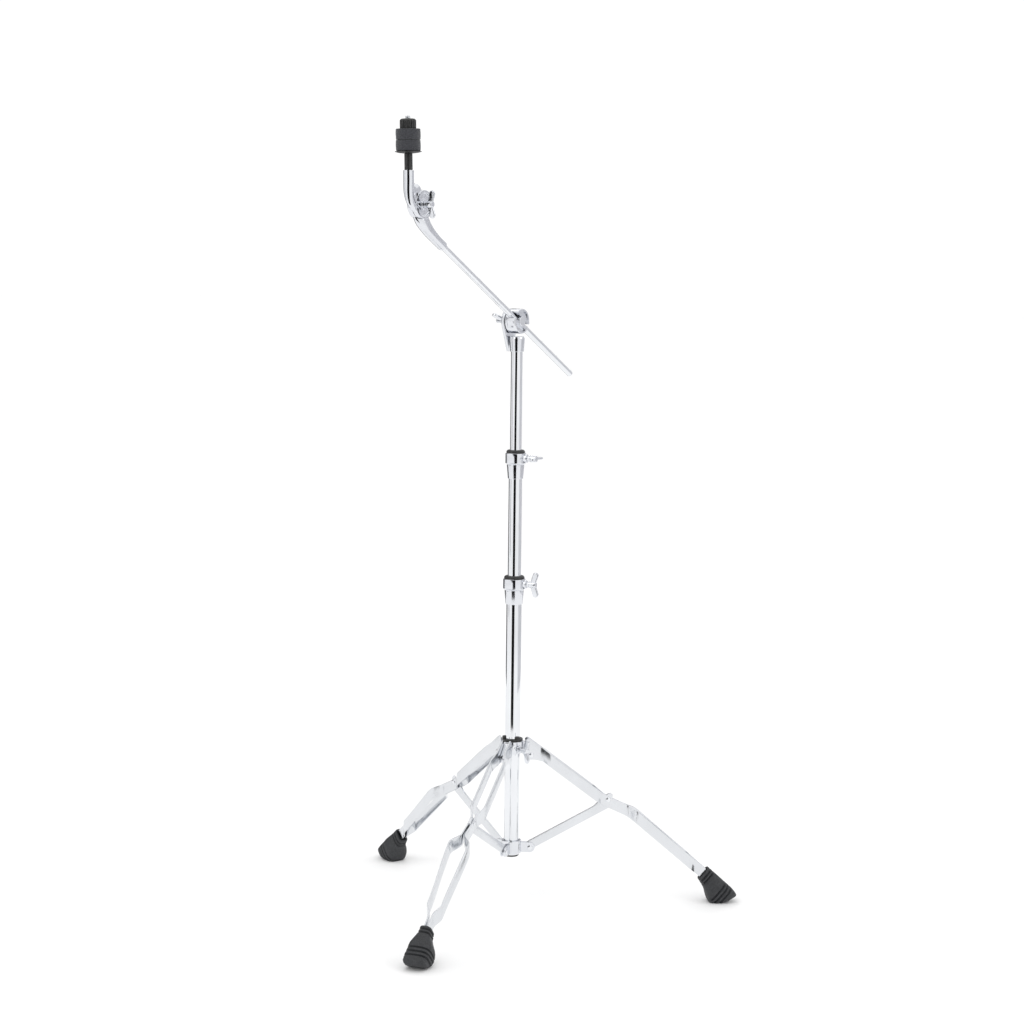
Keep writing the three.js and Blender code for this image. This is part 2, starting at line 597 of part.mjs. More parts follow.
function buildHolder() {
  const { radius, front, back } = holder;
  const puck = alongY(revolve([
    [0, -front], [radius - 2, -front], [radius, -front + 2],
    [radius, back - 1.2], [radius - 1.2, back], [0, back],
  ], fine));
  const channel = block(-radius - 5, radius + 5, -front - 5, 0, -armRoom, armRoom);
  const trough = alongX(rodForm(armRoom, -radius - 5, radius + 5, sides));
  const keyway = block(-radius - 5, radius + 5, -2.2, 2.2, 0, boom.radius + boom.pip + 0.4);
  const bore = alongY(rodForm(eyeBolt.radius + gap, -front - 5, back + 5, sides));
  const pocketRadius = radius - holder.pocketEdge;
  const sill = armRoom + 3;
  const reach = Math.asin(sill / pocketRadius);
  const pockets = [0, Math.PI].map((turn) => {
    const shape = new THREE.Shape();
    shape.absarc(0, 0, pocketRadius, reach, Math.PI - reach, false);
    shape.closePath();
    return plate(shape, -front - 1, -front + holder.pocket, 10).rotateY(turn);
  });
  const side = block(-radius - 3, -radius + 1.4, -5.5, 6.5, -5.5, 5.5);
  side.rotateY(rad(-boom.slope - 14));
  const body = cut(solid(puck), ...[channel, trough, keyway, bore, ...pockets, side].map(solid));
  part(boomFrame, 'boom_holder', body, chromeCast);

  const eye = alongY(rodForm(eyeBolt.radius, -front - eyeBolt.proud, back - 0.4, sides, 0.8));
  const shaft = alongY(rodForm(eyeBolt.shaft, back - 2, eyeBolt.reach, 16, 0.6));
  const eyeBody = cut(join(solid(eye), solid(shaft)), solid(trough), solid(keyway));
  part(boomFrame, 'boom_eye_bolt', eyeBody, chrome);

  const [near, far] = [back + gap, back + gap + tilterBase.washer];
  const ring = alongY(tubeForm(eyeBolt.shaft + gap, radius - 2, near, far));
  part(boomFrame, 'tilter_friction_washer', solid(ring), nylon);

  const start = earStart + tilterBase.ear + gap;
  const nut = wings(wingNut, start);
  const through = alongX(rodForm(eyeBolt.shaft + gap, start - 5, start + 40, small));
  const turnedNut = part(boomFrame, 'tilter_wing_nut', cut(nut, solid(through)), chromeCast);
  turnedNut.rotation.set(0, rad(wingNut.turn), Math.PI / 2, 'YZX');
}

function buildArm() {
  const form = alongX(rodForm(boom.radius, boom.head, boom.tail, sides, 0.8));
  const pips = [];
  const first = boom.tail - 2;
  for (let along = first; along > socket.end + 6; along -= boom.pipPitch) {
    pips.push(moved(new THREE.IcosahedronGeometry(boom.pip, 0), along, 0, boom.radius - 0.4));
  }
  const drill = moved(alongY(rodForm(pin.radius + gap, -20, 20, small)), socket.pinAlong, 0, 0);
  part(boomFrame, 'boom_arm', cut(join(solid(form), ...pips.map(solid)), solid(drill)), chrome);
}

// ---------------------------------------------------------------- cymbal tilter
const jointPlace = [joint.along, joint.rise];

function clutchDisc(near, far) {
  return revolve([
    [0, near], [joint.disc, near], [joint.disc, far - 1.4], [joint.disc - 1.4, far], [joint.disc - 4, far],
    [joint.disc - 5.2, far - 1.8], [9.4, far - 1.8], [8.4, far], [0, far],
  ], fine);
}

function buildLowerCasting() {
  const [jx, jz] = jointPlace;
  const body = castArm([
    [socket.end, 0, 0, socket.radius - 0.2, socket.radius - 0.2],
    [socket.end - 22, 0, 0, socket.radius, socket.radius],
    [socket.end - 46, 0.5, 2.5, 10, 8.8], [socket.end - 64, 2.5, 9.5, 13.5, 8.8],
    [socket.end - 76, 4.6, 19, 15.5, 4.8], [socket.end - 80, 4.8, 27, 13, 4],
  ]);
  const disc = moved(alongY(clutchDisc(joint.split, joint.split + joint.plate)), jx, 0, jz);
  const clear = moved(alongY(rodForm(joint.disc + joint.slit, -30, joint.split, fine)), jx, 0, jz);
  const hole = moved(alongY(rodForm(clutchBolt.shaft + gap, -30, 30, small)), jx, 0, jz);
  const nutRoom = moved(alongY(rodForm(8, joint.split + 4, 30, 24)), jx, 0, jz);
  const bore = alongX(rodForm(boom.radius + gap, boom.head - gap, socket.end + 10, sides));
  const drill = moved(alongY(rodForm(pin.radius + gap, -20, 20, small)), socket.pinAlong, 0, 0);
  const whole = cut(join(solid(body), solid(disc)), ...[clear, hole, nutRoom, bore, drill].map(solid));
  part(boomFrame, 'tilter_lower_casting', whole, chromeCast);
  const pinReach = socket.radius - 0.2;
  const roll = moved(alongY(rodForm(pin.radius, -pinReach, pinReach, 12)), socket.pinAlong, 0, 0);
  part(boomFrame, 'socket_roll_pin', solid(roll), chrome);

  const nut = new THREE.CylinderGeometry(7.2, 7.2, 5, 6).translate(0, joint.split + 4 + gap + 2.5, 0);
  const nutHole = alongY(rodForm(clutchBolt.shaft + gap, -30, 30, small));
  const nutMesh = part(boomFrame, 'cymbal_tilter_nut', cut(solid(nut), solid(nutHole)), chrome);
  nutMesh.position.set(jx, 0, jz);
}

// The cymbal tilter's own frame: pivot at the origin, Z up along the cymbal rod.
const tilterFrame = new THREE.Group();
tilterFrame.position.set(joint.along, 0, joint.rise);
tilterFrame.rotation.y = rad(stem.lean - boom.slope);
boomFrame.add(tilterFrame);

function buildUpperCasting() {
  const body = castArm([
    [stem.offset, 0, stem.top, stem.radius, stem.radius],
    [stem.offset - 0.5, 0, stem.top - 18, stem.radius, stem.radius],
    [stem.offset, 0, stem.top - 34, 9, 8.2], [stem.offset + 4, -2, 5, 11.5, 7.6],
    [stem.offset + 13, -4.4, -4, 13, 4.8], [stem.offset + 22, -5, -6, 11, 3.4],
  ]);
  const disc = alongY(clutchDisc(joint.split, joint.split + joint.plate)).rotateZ(Math.PI);
  const clear = alongY(rodForm(joint.disc + joint.slit, -joint.split, 30, fine));
  const hole = alongY(rodForm(clutchBolt.shaft + gap, -30, 30, small));
  const boreForm = rodForm(rod.radius + gap, stem.top - stem.bore - gap, stem.top + 10, small);
  const bore = moved(boreForm, stem.offset, 0, 0);
  const drillHeight = stem.top - 11;
  const drill = moved(alongY(rodForm(pin.radius + gap, -20, 20, small)), stem.offset, 0, drillHeight);
  const whole = cut(join(solid(body), solid(disc)), ...[clear, hole, bore, drill].map(solid));
  part(tilterFrame, 'tilter_upper_casting', whole, chromeCast);
  const pinReach = stem.radius - 0.2;
  const roll = moved(alongY(rodForm(pin.radius, -pinReach, pinReach, 12)), stem.offset, 0, drillHeight);
  part(tilterFrame, 'stem_roll_pin', solid(roll), chrome);

  const head = joint.split + joint.plate + gap + clutchBolt.neck;
  const bolt = wingBolt(clutchBolt, -joint.split - joint.plate - 3, head);
  const boltMesh = part(tilterFrame, 'cymbal_wing_bolt', bolt, chromeCast);
  boltMesh.rotation.z = -Math.PI / 2;

  const post = moved(rodForm(rod.radius, stem.top - stem.bore, rod.top, small, 0.8), stem.offset, 0, 0);
  part(tilterFrame, 'cymbal_rod', cut(solid(post), solid(drill)), chrome);
}

function buildCymbalSeat() {
  const place = (geometry) => solid(moved(geometry, stem.offset, 0, 0));
  const bore = rod.radius + gap;
  const tube = revolve([
    [bore, stem.top + gap], [sleeve.radius - 0.4, stem.top + gap],
    [sleeve.radius, stem.top + gap + 0.6],
    [sleeve.radius, sleeve.shoulder], [sleeve.neck, sleeve.shoulder],
    [sleeve.neck, sleeve.top], [bore, sleeve.top],
  ], sides);
  part(tilterFrame, 'cymbal_sleeve', place(tube), plastic);

  const hole = sleeve.neck + gap;
  const cupBase = sleeve.shoulder + gap;
  const cup = revolve([
    [hole, cupBase], [washer.radius * 0.42, cupBase], [washer.radius * 0.78, cupBase + 0.9],
    [washer.radius, cupBase + washer.rise - washer.rim], [washer.radius, cupBase + washer.rise],
    [hole, cupBase + washer.rise],
  ], fine);
  part(tilterFrame, 'cup_washer', place(cup), plastic);

  const feltBase = cupBase + washer.rise + gap;
  ['lower_felt', 'upper_felt'].forEach((name, i) => {
    const low = feltBase + i * (felt.height + gap);
    const high = low + felt.height;
    const ring = revolve([
      [hole + 0.1, low], [felt.radius - 0.8, low], [felt.radius, low + 0.8], [felt.radius, high - 0.8],
      [felt.radius - 0.8, high], [hole + 0.1, high],
    ], fine);
    part(tilterFrame, name, place(ring), feltGrey);
  });

  const low = feltBase + 2 * (felt.height + gap);
  const high = low + cap.height;
  const outline = new THREE.Shape();
  const steps = cap.flutes * 3;
  for (let i = 0; i < steps; i += 1) {
    const turn = (2 * Math.PI * i) / steps;
    const r = cap.radius - cap.flute * (0.5 - 0.5 * Math.cos(cap.flutes * turn)) ** 2;
    if (i === 0) outline.moveTo(r, 0);
    else outline.lineTo(r * Math.cos(turn), r * Math.sin(turn));
  }
  outline.closePath();
  const fluted = new THREE.ExtrudeGeometry(outline, { depth: cap.height, bevelEnabled: false });
  fluted.translate(0, 0, low);
  const dome = revolve([
    [0, low], [cap.radius, low], [cap.radius + 0.1, high - 2.6], [cap.radius - 2.2, high - 0.4],
    [cap.radius * 0.55, high], [0, high],
  ], fine);
  const through = rodForm(rod.radius + gap, low - 5, high + 5, small);
  const knob = solid(fluted).intersect(solid(dome)).subtract(solid(through));
  const mesh = part(tilterFrame, 'cymbal_cap', knob, plastic);
  mesh.position.x = stem.offset;
}

// ---------------------------------------------------------------- assembly
buildTube('lower_tube', lowerTube);
buildTube('mid_tube', midTube);
buildTube('upper_tube', upperTube);
buildGuide('mid_tube_guide', midTube, lowerTube);
buildGuide('upper_tube_guide', upperTube, midTube);
buildPlug();
buildLock('lower_lock', lowerTube, midTube, false);
buildLock('upper_lock', midTube, upperTube, true);
buildHub();
buildBracket();
for (const number of [1, 2, 3]) buildLeg(number);
buildTilterBase();
buildHolder();
buildArm();
buildLowerCasting();
buildUpperCasting();
buildCymbalSeat();

// The origin is the middle of the footprint, on the floor.
stand.updateMatrixWorld(true);
const box = new THREE.Box3().setFromObject(stand, true);
const centre = box.getCenter(vec(0, 0, 0));
stand.position.set(-centre.x, -centre.y, -box.min.z);

export default stand;
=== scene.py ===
import json
import math

import bmesh
import bpy
from mathutils import Matrix, Quaternion, Vector, noise

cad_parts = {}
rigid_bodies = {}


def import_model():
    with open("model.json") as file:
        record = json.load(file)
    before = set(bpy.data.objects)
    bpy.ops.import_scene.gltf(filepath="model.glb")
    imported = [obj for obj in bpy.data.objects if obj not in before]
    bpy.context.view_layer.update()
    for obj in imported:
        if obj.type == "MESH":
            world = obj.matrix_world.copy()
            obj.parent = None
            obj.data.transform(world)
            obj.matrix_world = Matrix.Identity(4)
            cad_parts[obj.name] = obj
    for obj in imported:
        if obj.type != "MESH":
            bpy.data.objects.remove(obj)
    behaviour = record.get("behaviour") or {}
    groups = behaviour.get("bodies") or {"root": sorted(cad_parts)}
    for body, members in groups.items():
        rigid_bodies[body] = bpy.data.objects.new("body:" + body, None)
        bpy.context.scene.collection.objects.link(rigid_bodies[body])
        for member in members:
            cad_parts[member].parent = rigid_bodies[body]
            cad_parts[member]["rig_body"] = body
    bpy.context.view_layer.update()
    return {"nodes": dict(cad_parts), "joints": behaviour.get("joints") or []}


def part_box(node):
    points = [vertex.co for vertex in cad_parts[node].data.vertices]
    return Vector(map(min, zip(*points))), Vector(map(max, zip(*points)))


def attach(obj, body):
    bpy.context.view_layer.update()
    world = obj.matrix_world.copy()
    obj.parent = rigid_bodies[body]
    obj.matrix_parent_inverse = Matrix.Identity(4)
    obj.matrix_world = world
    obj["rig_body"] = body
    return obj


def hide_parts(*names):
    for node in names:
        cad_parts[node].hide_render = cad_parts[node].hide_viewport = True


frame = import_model()

mm = 0.001
gap = 0.3  # clearance between neighbours, in millimetres
joints = {joint["name"]: joint for joint in frame["joints"]}
jointPlace = {name: Vector(joint["pos_m"]) for name, joint in joints.items() if "pos_m" in joint}
jointAxis = {name: Vector(joint["axis"]).normalized() for name, joint in joints.items()}


# A matrix from millimetres in a piece's own axes to metres in the frame.
def placeAt(origin, xAxis, yAxis):
    x = Vector(xAxis).normalized()
    y = Vector(yAxis).normalized()
    z = x.cross(y)
    turn = Matrix((x, y, z)).transposed().to_4x4()
    return Matrix.Translation(Vector(origin)) @ turn @ Matrix.Scale(mm, 4)


tubeLow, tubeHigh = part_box("lower_tube")
columnX = (tubeLow.x + tubeHigh.x) / 2
columnY = (tubeLow.y + tubeHigh.y) / 2
upright = placeAt((columnX, columnY, 0), (1, 0, 0), (0, 1, 0))

boomPivot = jointPlace["boom_tilt"]
boomAlong = jointAxis["boom_slide"]
boomPlace = placeAt(boomPivot, boomAlong, (0, 1, 0))

tilterPivot = jointPlace["cymbal_tilt"]
rodUp = jointAxis["lower_felt_lift"]
tilterPlace = placeAt(tilterPivot, Vector((0, 1, 0)).cross(rodUp), (0, 1, 0))
rodOffset = -28.0
rodPlace = tilterPlace @ Matrix.Translation((rodOffset, 0, 0))
tilterInBoom = boomPlace.inverted() @ tilterPivot


# Heights of a node along the column, in millimetres.
def span(node):
    low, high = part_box(node)
    return low.z / mm, high.z / mm


# Half the width of a round upright node, in millimetres.
def radiusOf(node):
    low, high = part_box(node)
    return (high.x - low.x) / 2 / mm


def legPlace(number):
    name = "leg_fold" if number == 1 else f"brace_{number}_pivot"
    pivot = jointPlace[name]
    outward = Vector((pivot.x - columnX, pivot.y - columnY, 0))
    return placeAt((columnX, columnY, 0), outward, Vector((0, 0, 1)).cross(outward))


# The longest direction of a node, from the spread of its corners about an axis.
def wingDirection(node, axis):
    corners = [v.co for v in frame["nodes"][node].data.vertices]
    middle = sum(corners, Vector()) / len(corners)
    best = max(corners, key=lambda p: ((p - middle) - axis * (p - middle).dot(axis)).length)
    flat = (best - middle) - axis * (best - middle).dot(axis)
    side = axis.orthogonal().normalized()
    other = axis.cross(side)
    spread = [((p - middle).dot(side), (p - middle).dot(other)) for p in corners]
    xx = sum(a * a for a, b in spread)
    yy = sum(b * b for a, b in spread)
    xy = sum(a * b for a, b in spread)
    angle = 0.5 * math.atan2(2 * xy, xx - yy)
    direction = side * math.cos(angle) + other * math.sin(angle)
    return direction if direction.dot(flat) >= 0 else -direction


def newMaterial(name):
    material = bpy.data.materials.new(name)
    material.use_nodes = True
    nodes = material.node_tree.nodes
    return material, nodes, material.node_tree.links, nodes["Principled BSDF"]


def noiseNode(nodes, links, scale, detail, stretch=(1, 1, 1)):
    coordinates = nodes.new("ShaderNodeTexCoord")
    mapping = nodes.new("ShaderNodeMapping")
    mapping.inputs["Scale"].default_value = stretch
    texture = nodes.new("ShaderNodeTexNoise")
    texture.inputs["Scale"].default_value = scale
    texture.inputs["Detail"].default_value = detail
    links.new(coordinates.outputs["Object"], mapping.inputs["Vector"])
    links.new(mapping.outputs["Vector"], texture.inputs["Vector"])
    return texture


def rampNode(nodes, links, source, stops):
    ramp = nodes.new("ShaderNodeValToRGB")
    ramp.color_ramp.elements[0].position = stops[0][0]
    ramp.color_ramp.elements[0].color = (*stops[0][1], 1)
    ramp.color_ramp.elements[1].position = stops[1][0]
    ramp.color_ramp.elements[1].color = (*stops[1][1], 1)
    links.new(source, ramp.inputs["Fac"])
    return ramp


def bumpNode(nodes, links, source, strength, distance, shader):
    bump = nodes.new("ShaderNodeBump")
    bump.inputs["Strength"].default_value = strength
    bump.inputs["Distance"].default_value = distance
    links.new(source, bump.inputs["Height"])
    links.new(bump.outputs["Normal"], shader.inputs["Normal"])
    return bump


def metalMaterial(name, tint, rough, grain, stretch, bump):
    material, nodes, links, shader = newMaterial(name)
    shader.inputs["Metallic"].default_value = 1.0
    haze = noiseNode(nodes, links, 14, 4)
    colour = rampNode(nodes, links, haze.outputs["Fac"], [(0.35, [c * 0.95 for c in tint]), (0.7, tint)])
    links.new(colour.outputs["Color"], shader.inputs["Base Color"])
    smear = noiseNode(nodes, links, grain, 5, stretch)
    shades = [(0.3, [rough * 0.75] * 3), (0.75, [rough * 1.4] * 3)]
    roughness = rampNode(nodes, links, smear.outputs["Fac"], shades)
    links.new(roughness.outputs["Color"], shader.inputs["Roughness"])
    bumpNode(nodes, links, smear.outputs["Fac"], bump, 0.0004, shader)
    return material


def softMaterial(name, dark, light, rough, scale, bump, distance, sheen=0.0):
    material, nodes, links, shader = newMaterial(name)
    texture = noiseNode(nodes, links, scale, 6)
    colour = rampNode(nodes, links, texture.outputs["Fac"], [(0.3, dark), (0.72, light)])
    links.new(colour.outputs["Color"], shader.inputs["Base Color"])
    wear = noiseNode(nodes, links, scale * 0.12, 3)
    shades = [(0.3, [rough * 0.88] * 3), (0.7, [min(1, rough * 1.1)] * 3)]
    roughness = rampNode(nodes, links, wear.outputs["Fac"], shades)
    links.new(roughness.outputs["Color"], shader.inputs["Roughness"])
    shader.inputs["Sheen Weight"].default_value = sheen
    bumpNode(nodes, links, texture.outputs["Fac"], bump, distance, shader)
    return material


finishes = {
    "chrome_tube": metalMaterial("polishedTube", [0.83, 0.845, 0.87], 0.055, 30, (1, 1, 0.06), 0.03),
    "chrome_strip": metalMaterial("platedStrip", [0.74, 0.755, 0.78], 0.17, 60, (1, 1, 1), 0.05),
    "chrome_cast": metalMaterial("platedCasting", [0.76, 0.775, 0.81], 0.11, 90, (1, 1, 1), 0.10),
    "black_nylon": softMaterial("mouldedNylon", [0.012] * 3, [0.03] * 3, 0.42, 260, 0.10, 0.0003),
    "black_rubber": softMaterial(
        "bootRubber", [0.016, 0.017, 0.019], [0.038, 0.040, 0.044], 0.62, 420, 0.22, 0.0004),
    "black_plastic": softMaterial("knobPlastic", [0.010] * 3, [0.024] * 3, 0.36, 200, 0.06, 0.0003),
    "grey_felt": softMaterial(
        "pressedFelt", [0.016, 0.0165, 0.020], [0.062, 0.064, 0.074], 0.97, 900, 0.8, 0.0009, 0.22),
}
print("materials ready")


# A shell is (points, faces) in millimetres. Several shells make one piece.
# Rounds every corner of a closed or open outline with a short curve.
def softened(outline, radius, steps=4, closed=False):
    result = []
    count = len(outline)
    for i, point in enumerate(outline):
        if not closed and i in (0, count - 1):
            result.append(tuple(point))
            continue
        corner = Vector(point)
        before = Vector(outline[i - 1])
        after = Vector(outline[(i + 1) % count])
        reach = min(radius, (before - corner).length * 0.45, (after - corner).length * 0.45)
        start = corner + (before - corner).normalized() * reach
        end = corner + (after - corner).normalized() * reach
        for step in range(steps + 1):
            t = step / steps
            result.append(tuple(start.lerp(corner, t).lerp(corner.lerp(end, t), t)))
    return result


# Turns (radius, height) points about Z. Points on the axis become single poles.
def latheShell(profile, count=72, ripple=None):
    points = []
    rows = []
    for radius, height in profile:
        if radius < 1e-6:
            rows.append([len(points)])
            points.append(Vector((0, 0, height)))
            continue
        rows.append(list(range(len(points), len(points) + count)))
        for step in range(count):
            angle = 2 * math.pi * step / count
            r = radius if ripple is None else ripple(radius, height, angle)
            points.append(Vector((r * math.cos(angle), r * math.sin(angle), height)))
    faces = []
    pairs = list(zip(rows, rows[1:]))
    if len(rows[0]) > 1 and len(rows[-1]) > 1:
        pairs.append((rows[-1], rows[0]))
    for a, b in pairs:
        for step in range(count):
            after = (step + 1) % count
            if len(a) == 1 and len(b) > 1:
                faces.append((a[0], b[after], b[step]))
            elif len(b) == 1 and len(a) > 1:
                faces.append((a[step], a[after], b[0]))
            elif len(a) > 1:
                faces.append((a[step], a[after], b[after], b[step]))
    return points, faces


def loftShell(rings):
    count = len(rings[0])
    points = [Vector(point) for ring in rings for point in ring]
    faces = []
    for row in range(len(rings) - 1):
        for step in range(count):
            a = row * count + step
            b = row * count + (step + 1) % count
            faces.append((a, b, b + count, a + count))
    last = (len(rings) - 1) * count
    faces.append(tuple(reversed(range(count))))
    faces.append(tuple(range(last, last + count)))
    return points, faces


def linkOutline(first, second, steps=14):
    (x0, z0, r0), (x1, z1, r1) = first, second
    heading = math.atan2(z1 - z0, x1 - x0)
    spread = math.acos((r0 - r1) / math.hypot(x1 - x0, z1 - z0))
    outline = []
    for step in range(steps + 1):
        angle = heading + spread + (2 * math.pi - 2 * spread) * step / steps
        outline.append((x0 + r0 * math.cos(angle), z0 + r0 * math.sin(angle)))
    for step in range(steps + 1):
        angle = heading - spread + 2 * spread * step / steps
        outline.append((x1 + r1 * math.cos(angle), z1 + r1 * math.sin(angle)))
    return outline


# A plate round two circles in XZ, with its edges rounded, from y0 to y1.
def linkShell(first, second, y0, y1, edge=1.0, steps=5):
    rings = []
    levels = []
    for step in range(steps + 1):
        turn = math.pi / 2 * step / steps
        levels.append((y0 + edge * (1 - math.cos(turn)), edge * (1 - math.sin(turn))))
    levels += [(y0 + y1 - y, inset) for y, inset in reversed(levels)]
    for y, inset in levels:
        a = (first[0], first[1], first[2] - inset)
        b = (second[0], second[1], second[2] - inset)
        rings.append([(x, y, z) for x, z in linkOutline(a, b)])
    return loftShell(rings)


def moveShell(shell, matrix):
    points, faces = shell
    return [matrix @ point for point in points], faces


alongX = Matrix.Rotation(math.pi / 2, 4, "Y")
alongY = Matrix.Rotation(-math.pi / 2, 4, "X")


# A helical thread as one closed skin, from z0 to z1.
def threadShell(radius, z0, z1, pitch=1.25, depth=0.62, count=40, core=None):
    rows = max(2, int((z1 - z0) / pitch * 8))
    inner = radius - depth if core is None else core
    rings = []
    for row in range(rows + 1):
        z = z0 + (z1 - z0) * row / rows
        fade = min(1, (z - z0) / pitch, (z1 - z) / pitch)
        ring = []
        for step in range(count):
            phase = (z / pitch - step / count) % 1
            tooth = 1 - abs(2 * phase - 1)
            r = inner + (radius - inner) * tooth * max(0, fade)
            angle = 2 * math.pi * step / count
            ring.append((r * math.cos(angle), r * math.sin(angle), z))
        rings.append(ring)
    return loftShell(rings)


def meshFrom(shells, place):
    mesh = bpy.data.meshes.new("piece")
    points = []
    faces = []
    for shellPoints, shellFaces in shells:
        start = len(points)
        points += [place @ point for point in shellPoints]
        faces += [tuple(start + corner for corner in face) for face in shellFaces]
    mesh.from_pydata(points, [], faces)
    work = bmesh.new()
    work.from_mesh(mesh)
    bmesh.ops.remove_doubles(work, verts=work.verts, dist=1e-8)
    bmesh.ops.recalc_face_normals(work, faces=work.faces)
    work.to_mesh(mesh)
    work.free()
    return mesh


def finishPiece(obj, body, slotName, nodes, sharp=38):
    mesh = obj.data
    for polygon in mesh.polygons:
        polygon.use_smooth = True
    mesh.set_sharp_from_angle(angle=math.radians(sharp))
    mesh.materials.clear()
    mesh.materials.append(finishes[slotName])
    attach(obj, body)
    if nodes:
        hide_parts(*nodes)
    return obj


def addPiece(name, shells, place, body, slotName, nodes, sharp=38):
    obj = bpy.data.objects.new(name, meshFrom(shells, place))
    bpy.context.scene.collection.objects.link(obj)
    return finishPiece(obj, body, slotName, nodes, sharp)


# Cuts closed shells out of others and returns the result as a plain mesh.
def carve(solids, tools, place, bevel=0.0):
    base = bpy.data.objects.new("carved", meshFrom(solids, place))
    bpy.context.scene.collection.objects.link(base)
    helpers = []
    for index, tool in enumerate(tools):
        helper = bpy.data.objects.new(f"tool{index}", meshFrom([tool], place))
        bpy.context.scene.collection.objects.link(helper)
        modifier = base.modifiers.new("cut", "BOOLEAN")
        modifier.object = helper
        modifier.operation = "DIFFERENCE"
        modifier.solver = "EXACT"
        helpers.append(helper)
    if bevel:
        edge = base.modifiers.new("edge", "BEVEL")
        edge.width = bevel * mm
        edge.segments = 2
        edge.limit_method = "ANGLE"
        edge.angle_limit = math.radians(40)
    graph = bpy.context.evaluated_depsgraph_get()
    mesh = bpy.data.meshes.new_from_object(base.evaluated_get(graph))
    for obj in [base, *helpers]:
        bpy.data.objects.remove(obj)
    return mesh


def joinMeshes(meshes):
    work = bmesh.new()
    for mesh in meshes:
        work.from_mesh(mesh)
    joined = bpy.data.meshes.new("joined")
    work.to_mesh(joined)
    work.free()
    return joined


def addCarved(name, solids, tools, place, body, slotName, nodes, extra=(), bevel=0.0):
    meshes = [carve([solid], tools, place, bevel) for solid in solids]
    if extra:
        meshes.append(meshFrom(extra, place))
    obj = bpy.data.objects.new(name, joinMeshes(meshes))
    bpy.context.scene.collection.objects.link(obj)
    return finishPiece(obj, body, slotName, nodes)


def blockShell(x0, x1, y0, y1, z0, z1):
    points = [Vector((x, y, z)) for x in (x0, x1) for y in (y0, y1) for z in (z0, z1)]
    faces = [(0, 1, 3, 2), (4, 6, 7, 5), (0, 4, 5, 1), (2, 3, 7, 6), (0, 2, 6, 4), (1, 5, 7, 3)]
    return points, faces


tubes = {
    "lowerTube": {"node": "lower_tube", "body": "column", "wall": 1.2},
    "midTube": {"node": "mid_tube", "body": "mid_section", "wall": 1.2},
    "upperTube": {"node": "upper_tube", "body": "upper_section", "wall": 1.2},
}


def buildTube(name, size):
    low, high = span(size["node"])
    outer = radiusOf(size["node"])
    inner = outer - size["wall"]
    profile = softened([(inner, low), (outer, low), (outer, high), (inner, high)], 0.4, 3, True)
    addPiece(name, [latheShell(profile, 96)], upright, size["body"], "chrome_tube", [size["node"]])


lock = {"ferrule": 23.7, "flare": 1.8, "rise": 1.7, "flat": 1.9, "lip": 1.6, "boss": 7.0, "reach": 4.0,
        "bushWall": 3.1}


def buildLock(prefix, tubeNode, innerNode, outerNode, body, boltJoint):
    base, top = span(outerNode)
    seat = radiusOf(tubeNode) + gap
    inner = radiusOf(innerNode) + gap
    tubeTop = span(tubeNode)[1]
    block = seat + 5.7
    room = inner + lock["bushWall"] + gap
    blockBase = base + lock["ferrule"] + lock["rise"]
    flare = seat + 1.3 + lock["flare"]
    outline = [
        (seat, base), (seat + 1.2, base), (flare, base + lock["ferrule"] - 1.6),
        (flare - 0.5, base + lock["ferrule"]), (block - 0.6, blockBase), (block, blockBase + 1),
        (block, top), (room, top), (room, tubeTop + gap), (seat, tubeTop + gap)]
    axis = jointAxis[boltJoint]
    height = jointPlace[boltJoint].z / mm
    facing = math.atan2(axis.y, axis.x)
    aim = Matrix.Translation((0, 0, height)) @ Matrix.Rotation(facing, 4, "Z") @ alongX
    end = block + lock["reach"]
    bossOutline = softened(
        [(0, block - 4.5), (lock["boss"], block - 4.5), (lock["boss"], end), (0, end)], 1.4, 5)
    cuts = []
    for quarter in range(4):
        side = Matrix.Rotation(facing + quarter * math.pi / 2, 4, "Z")
        cuts.append(moveShell(
            blockShell(block - lock["flat"], block + 9, -30, 30, blockBase + 0.8, top + 9), side))
    boss = moveShell(latheShell(bossOutline, 48), aim)
    addCarved(f"{prefix}Collar", [latheShell(softened(outline, 0.9, 4, True), 96)], cuts, upright, body,
              "chrome_cast", [outerNode], [boss], 0.5)

    bushNode = outerNode.replace("collar", "bush")
    bushLow, bushHigh = span(bushNode)
    lip = block - lock["lip"]
    bushRadius = inner + lock["bushWall"]
    bush = [
        (inner, bushLow), (bushRadius, bushLow), (bushRadius, top + gap), (lip, top + gap),
        (lip, top + gap + 2.5), (lip - 2, bushHigh), (inner, bushHigh)]
    addPiece(f"{prefix}Bush", [latheShell(softened(bush, 0.7, 4, True), 96)], upright, body,
             "black_nylon", [bushNode])
    return end


# Wings in XZ about a hub along X, starting at x = start.
def wingShells(size, start):
    tip = size["span"] / 2 - size["lobe"]
    middle = start + size["hub"]
    half = size["thickness"] / 2
    shells = []
    for way in (-1, 1):
        shells.append(linkShell(
            (middle, 0, size["hub"] * 0.8), (middle + size["rake"], way * tip, size["lobe"]),
            -half, half, 1.7, 6))
    hub = [(0, start), (size["hub"], start), (size["hub"] * 0.86, start + 2 * size["hub"]),
           (0, start + 2 * size["hub"])]
    shells.append(moveShell(latheShell(softened(hub, 1.6, 6), 40), alongX))
    return shells


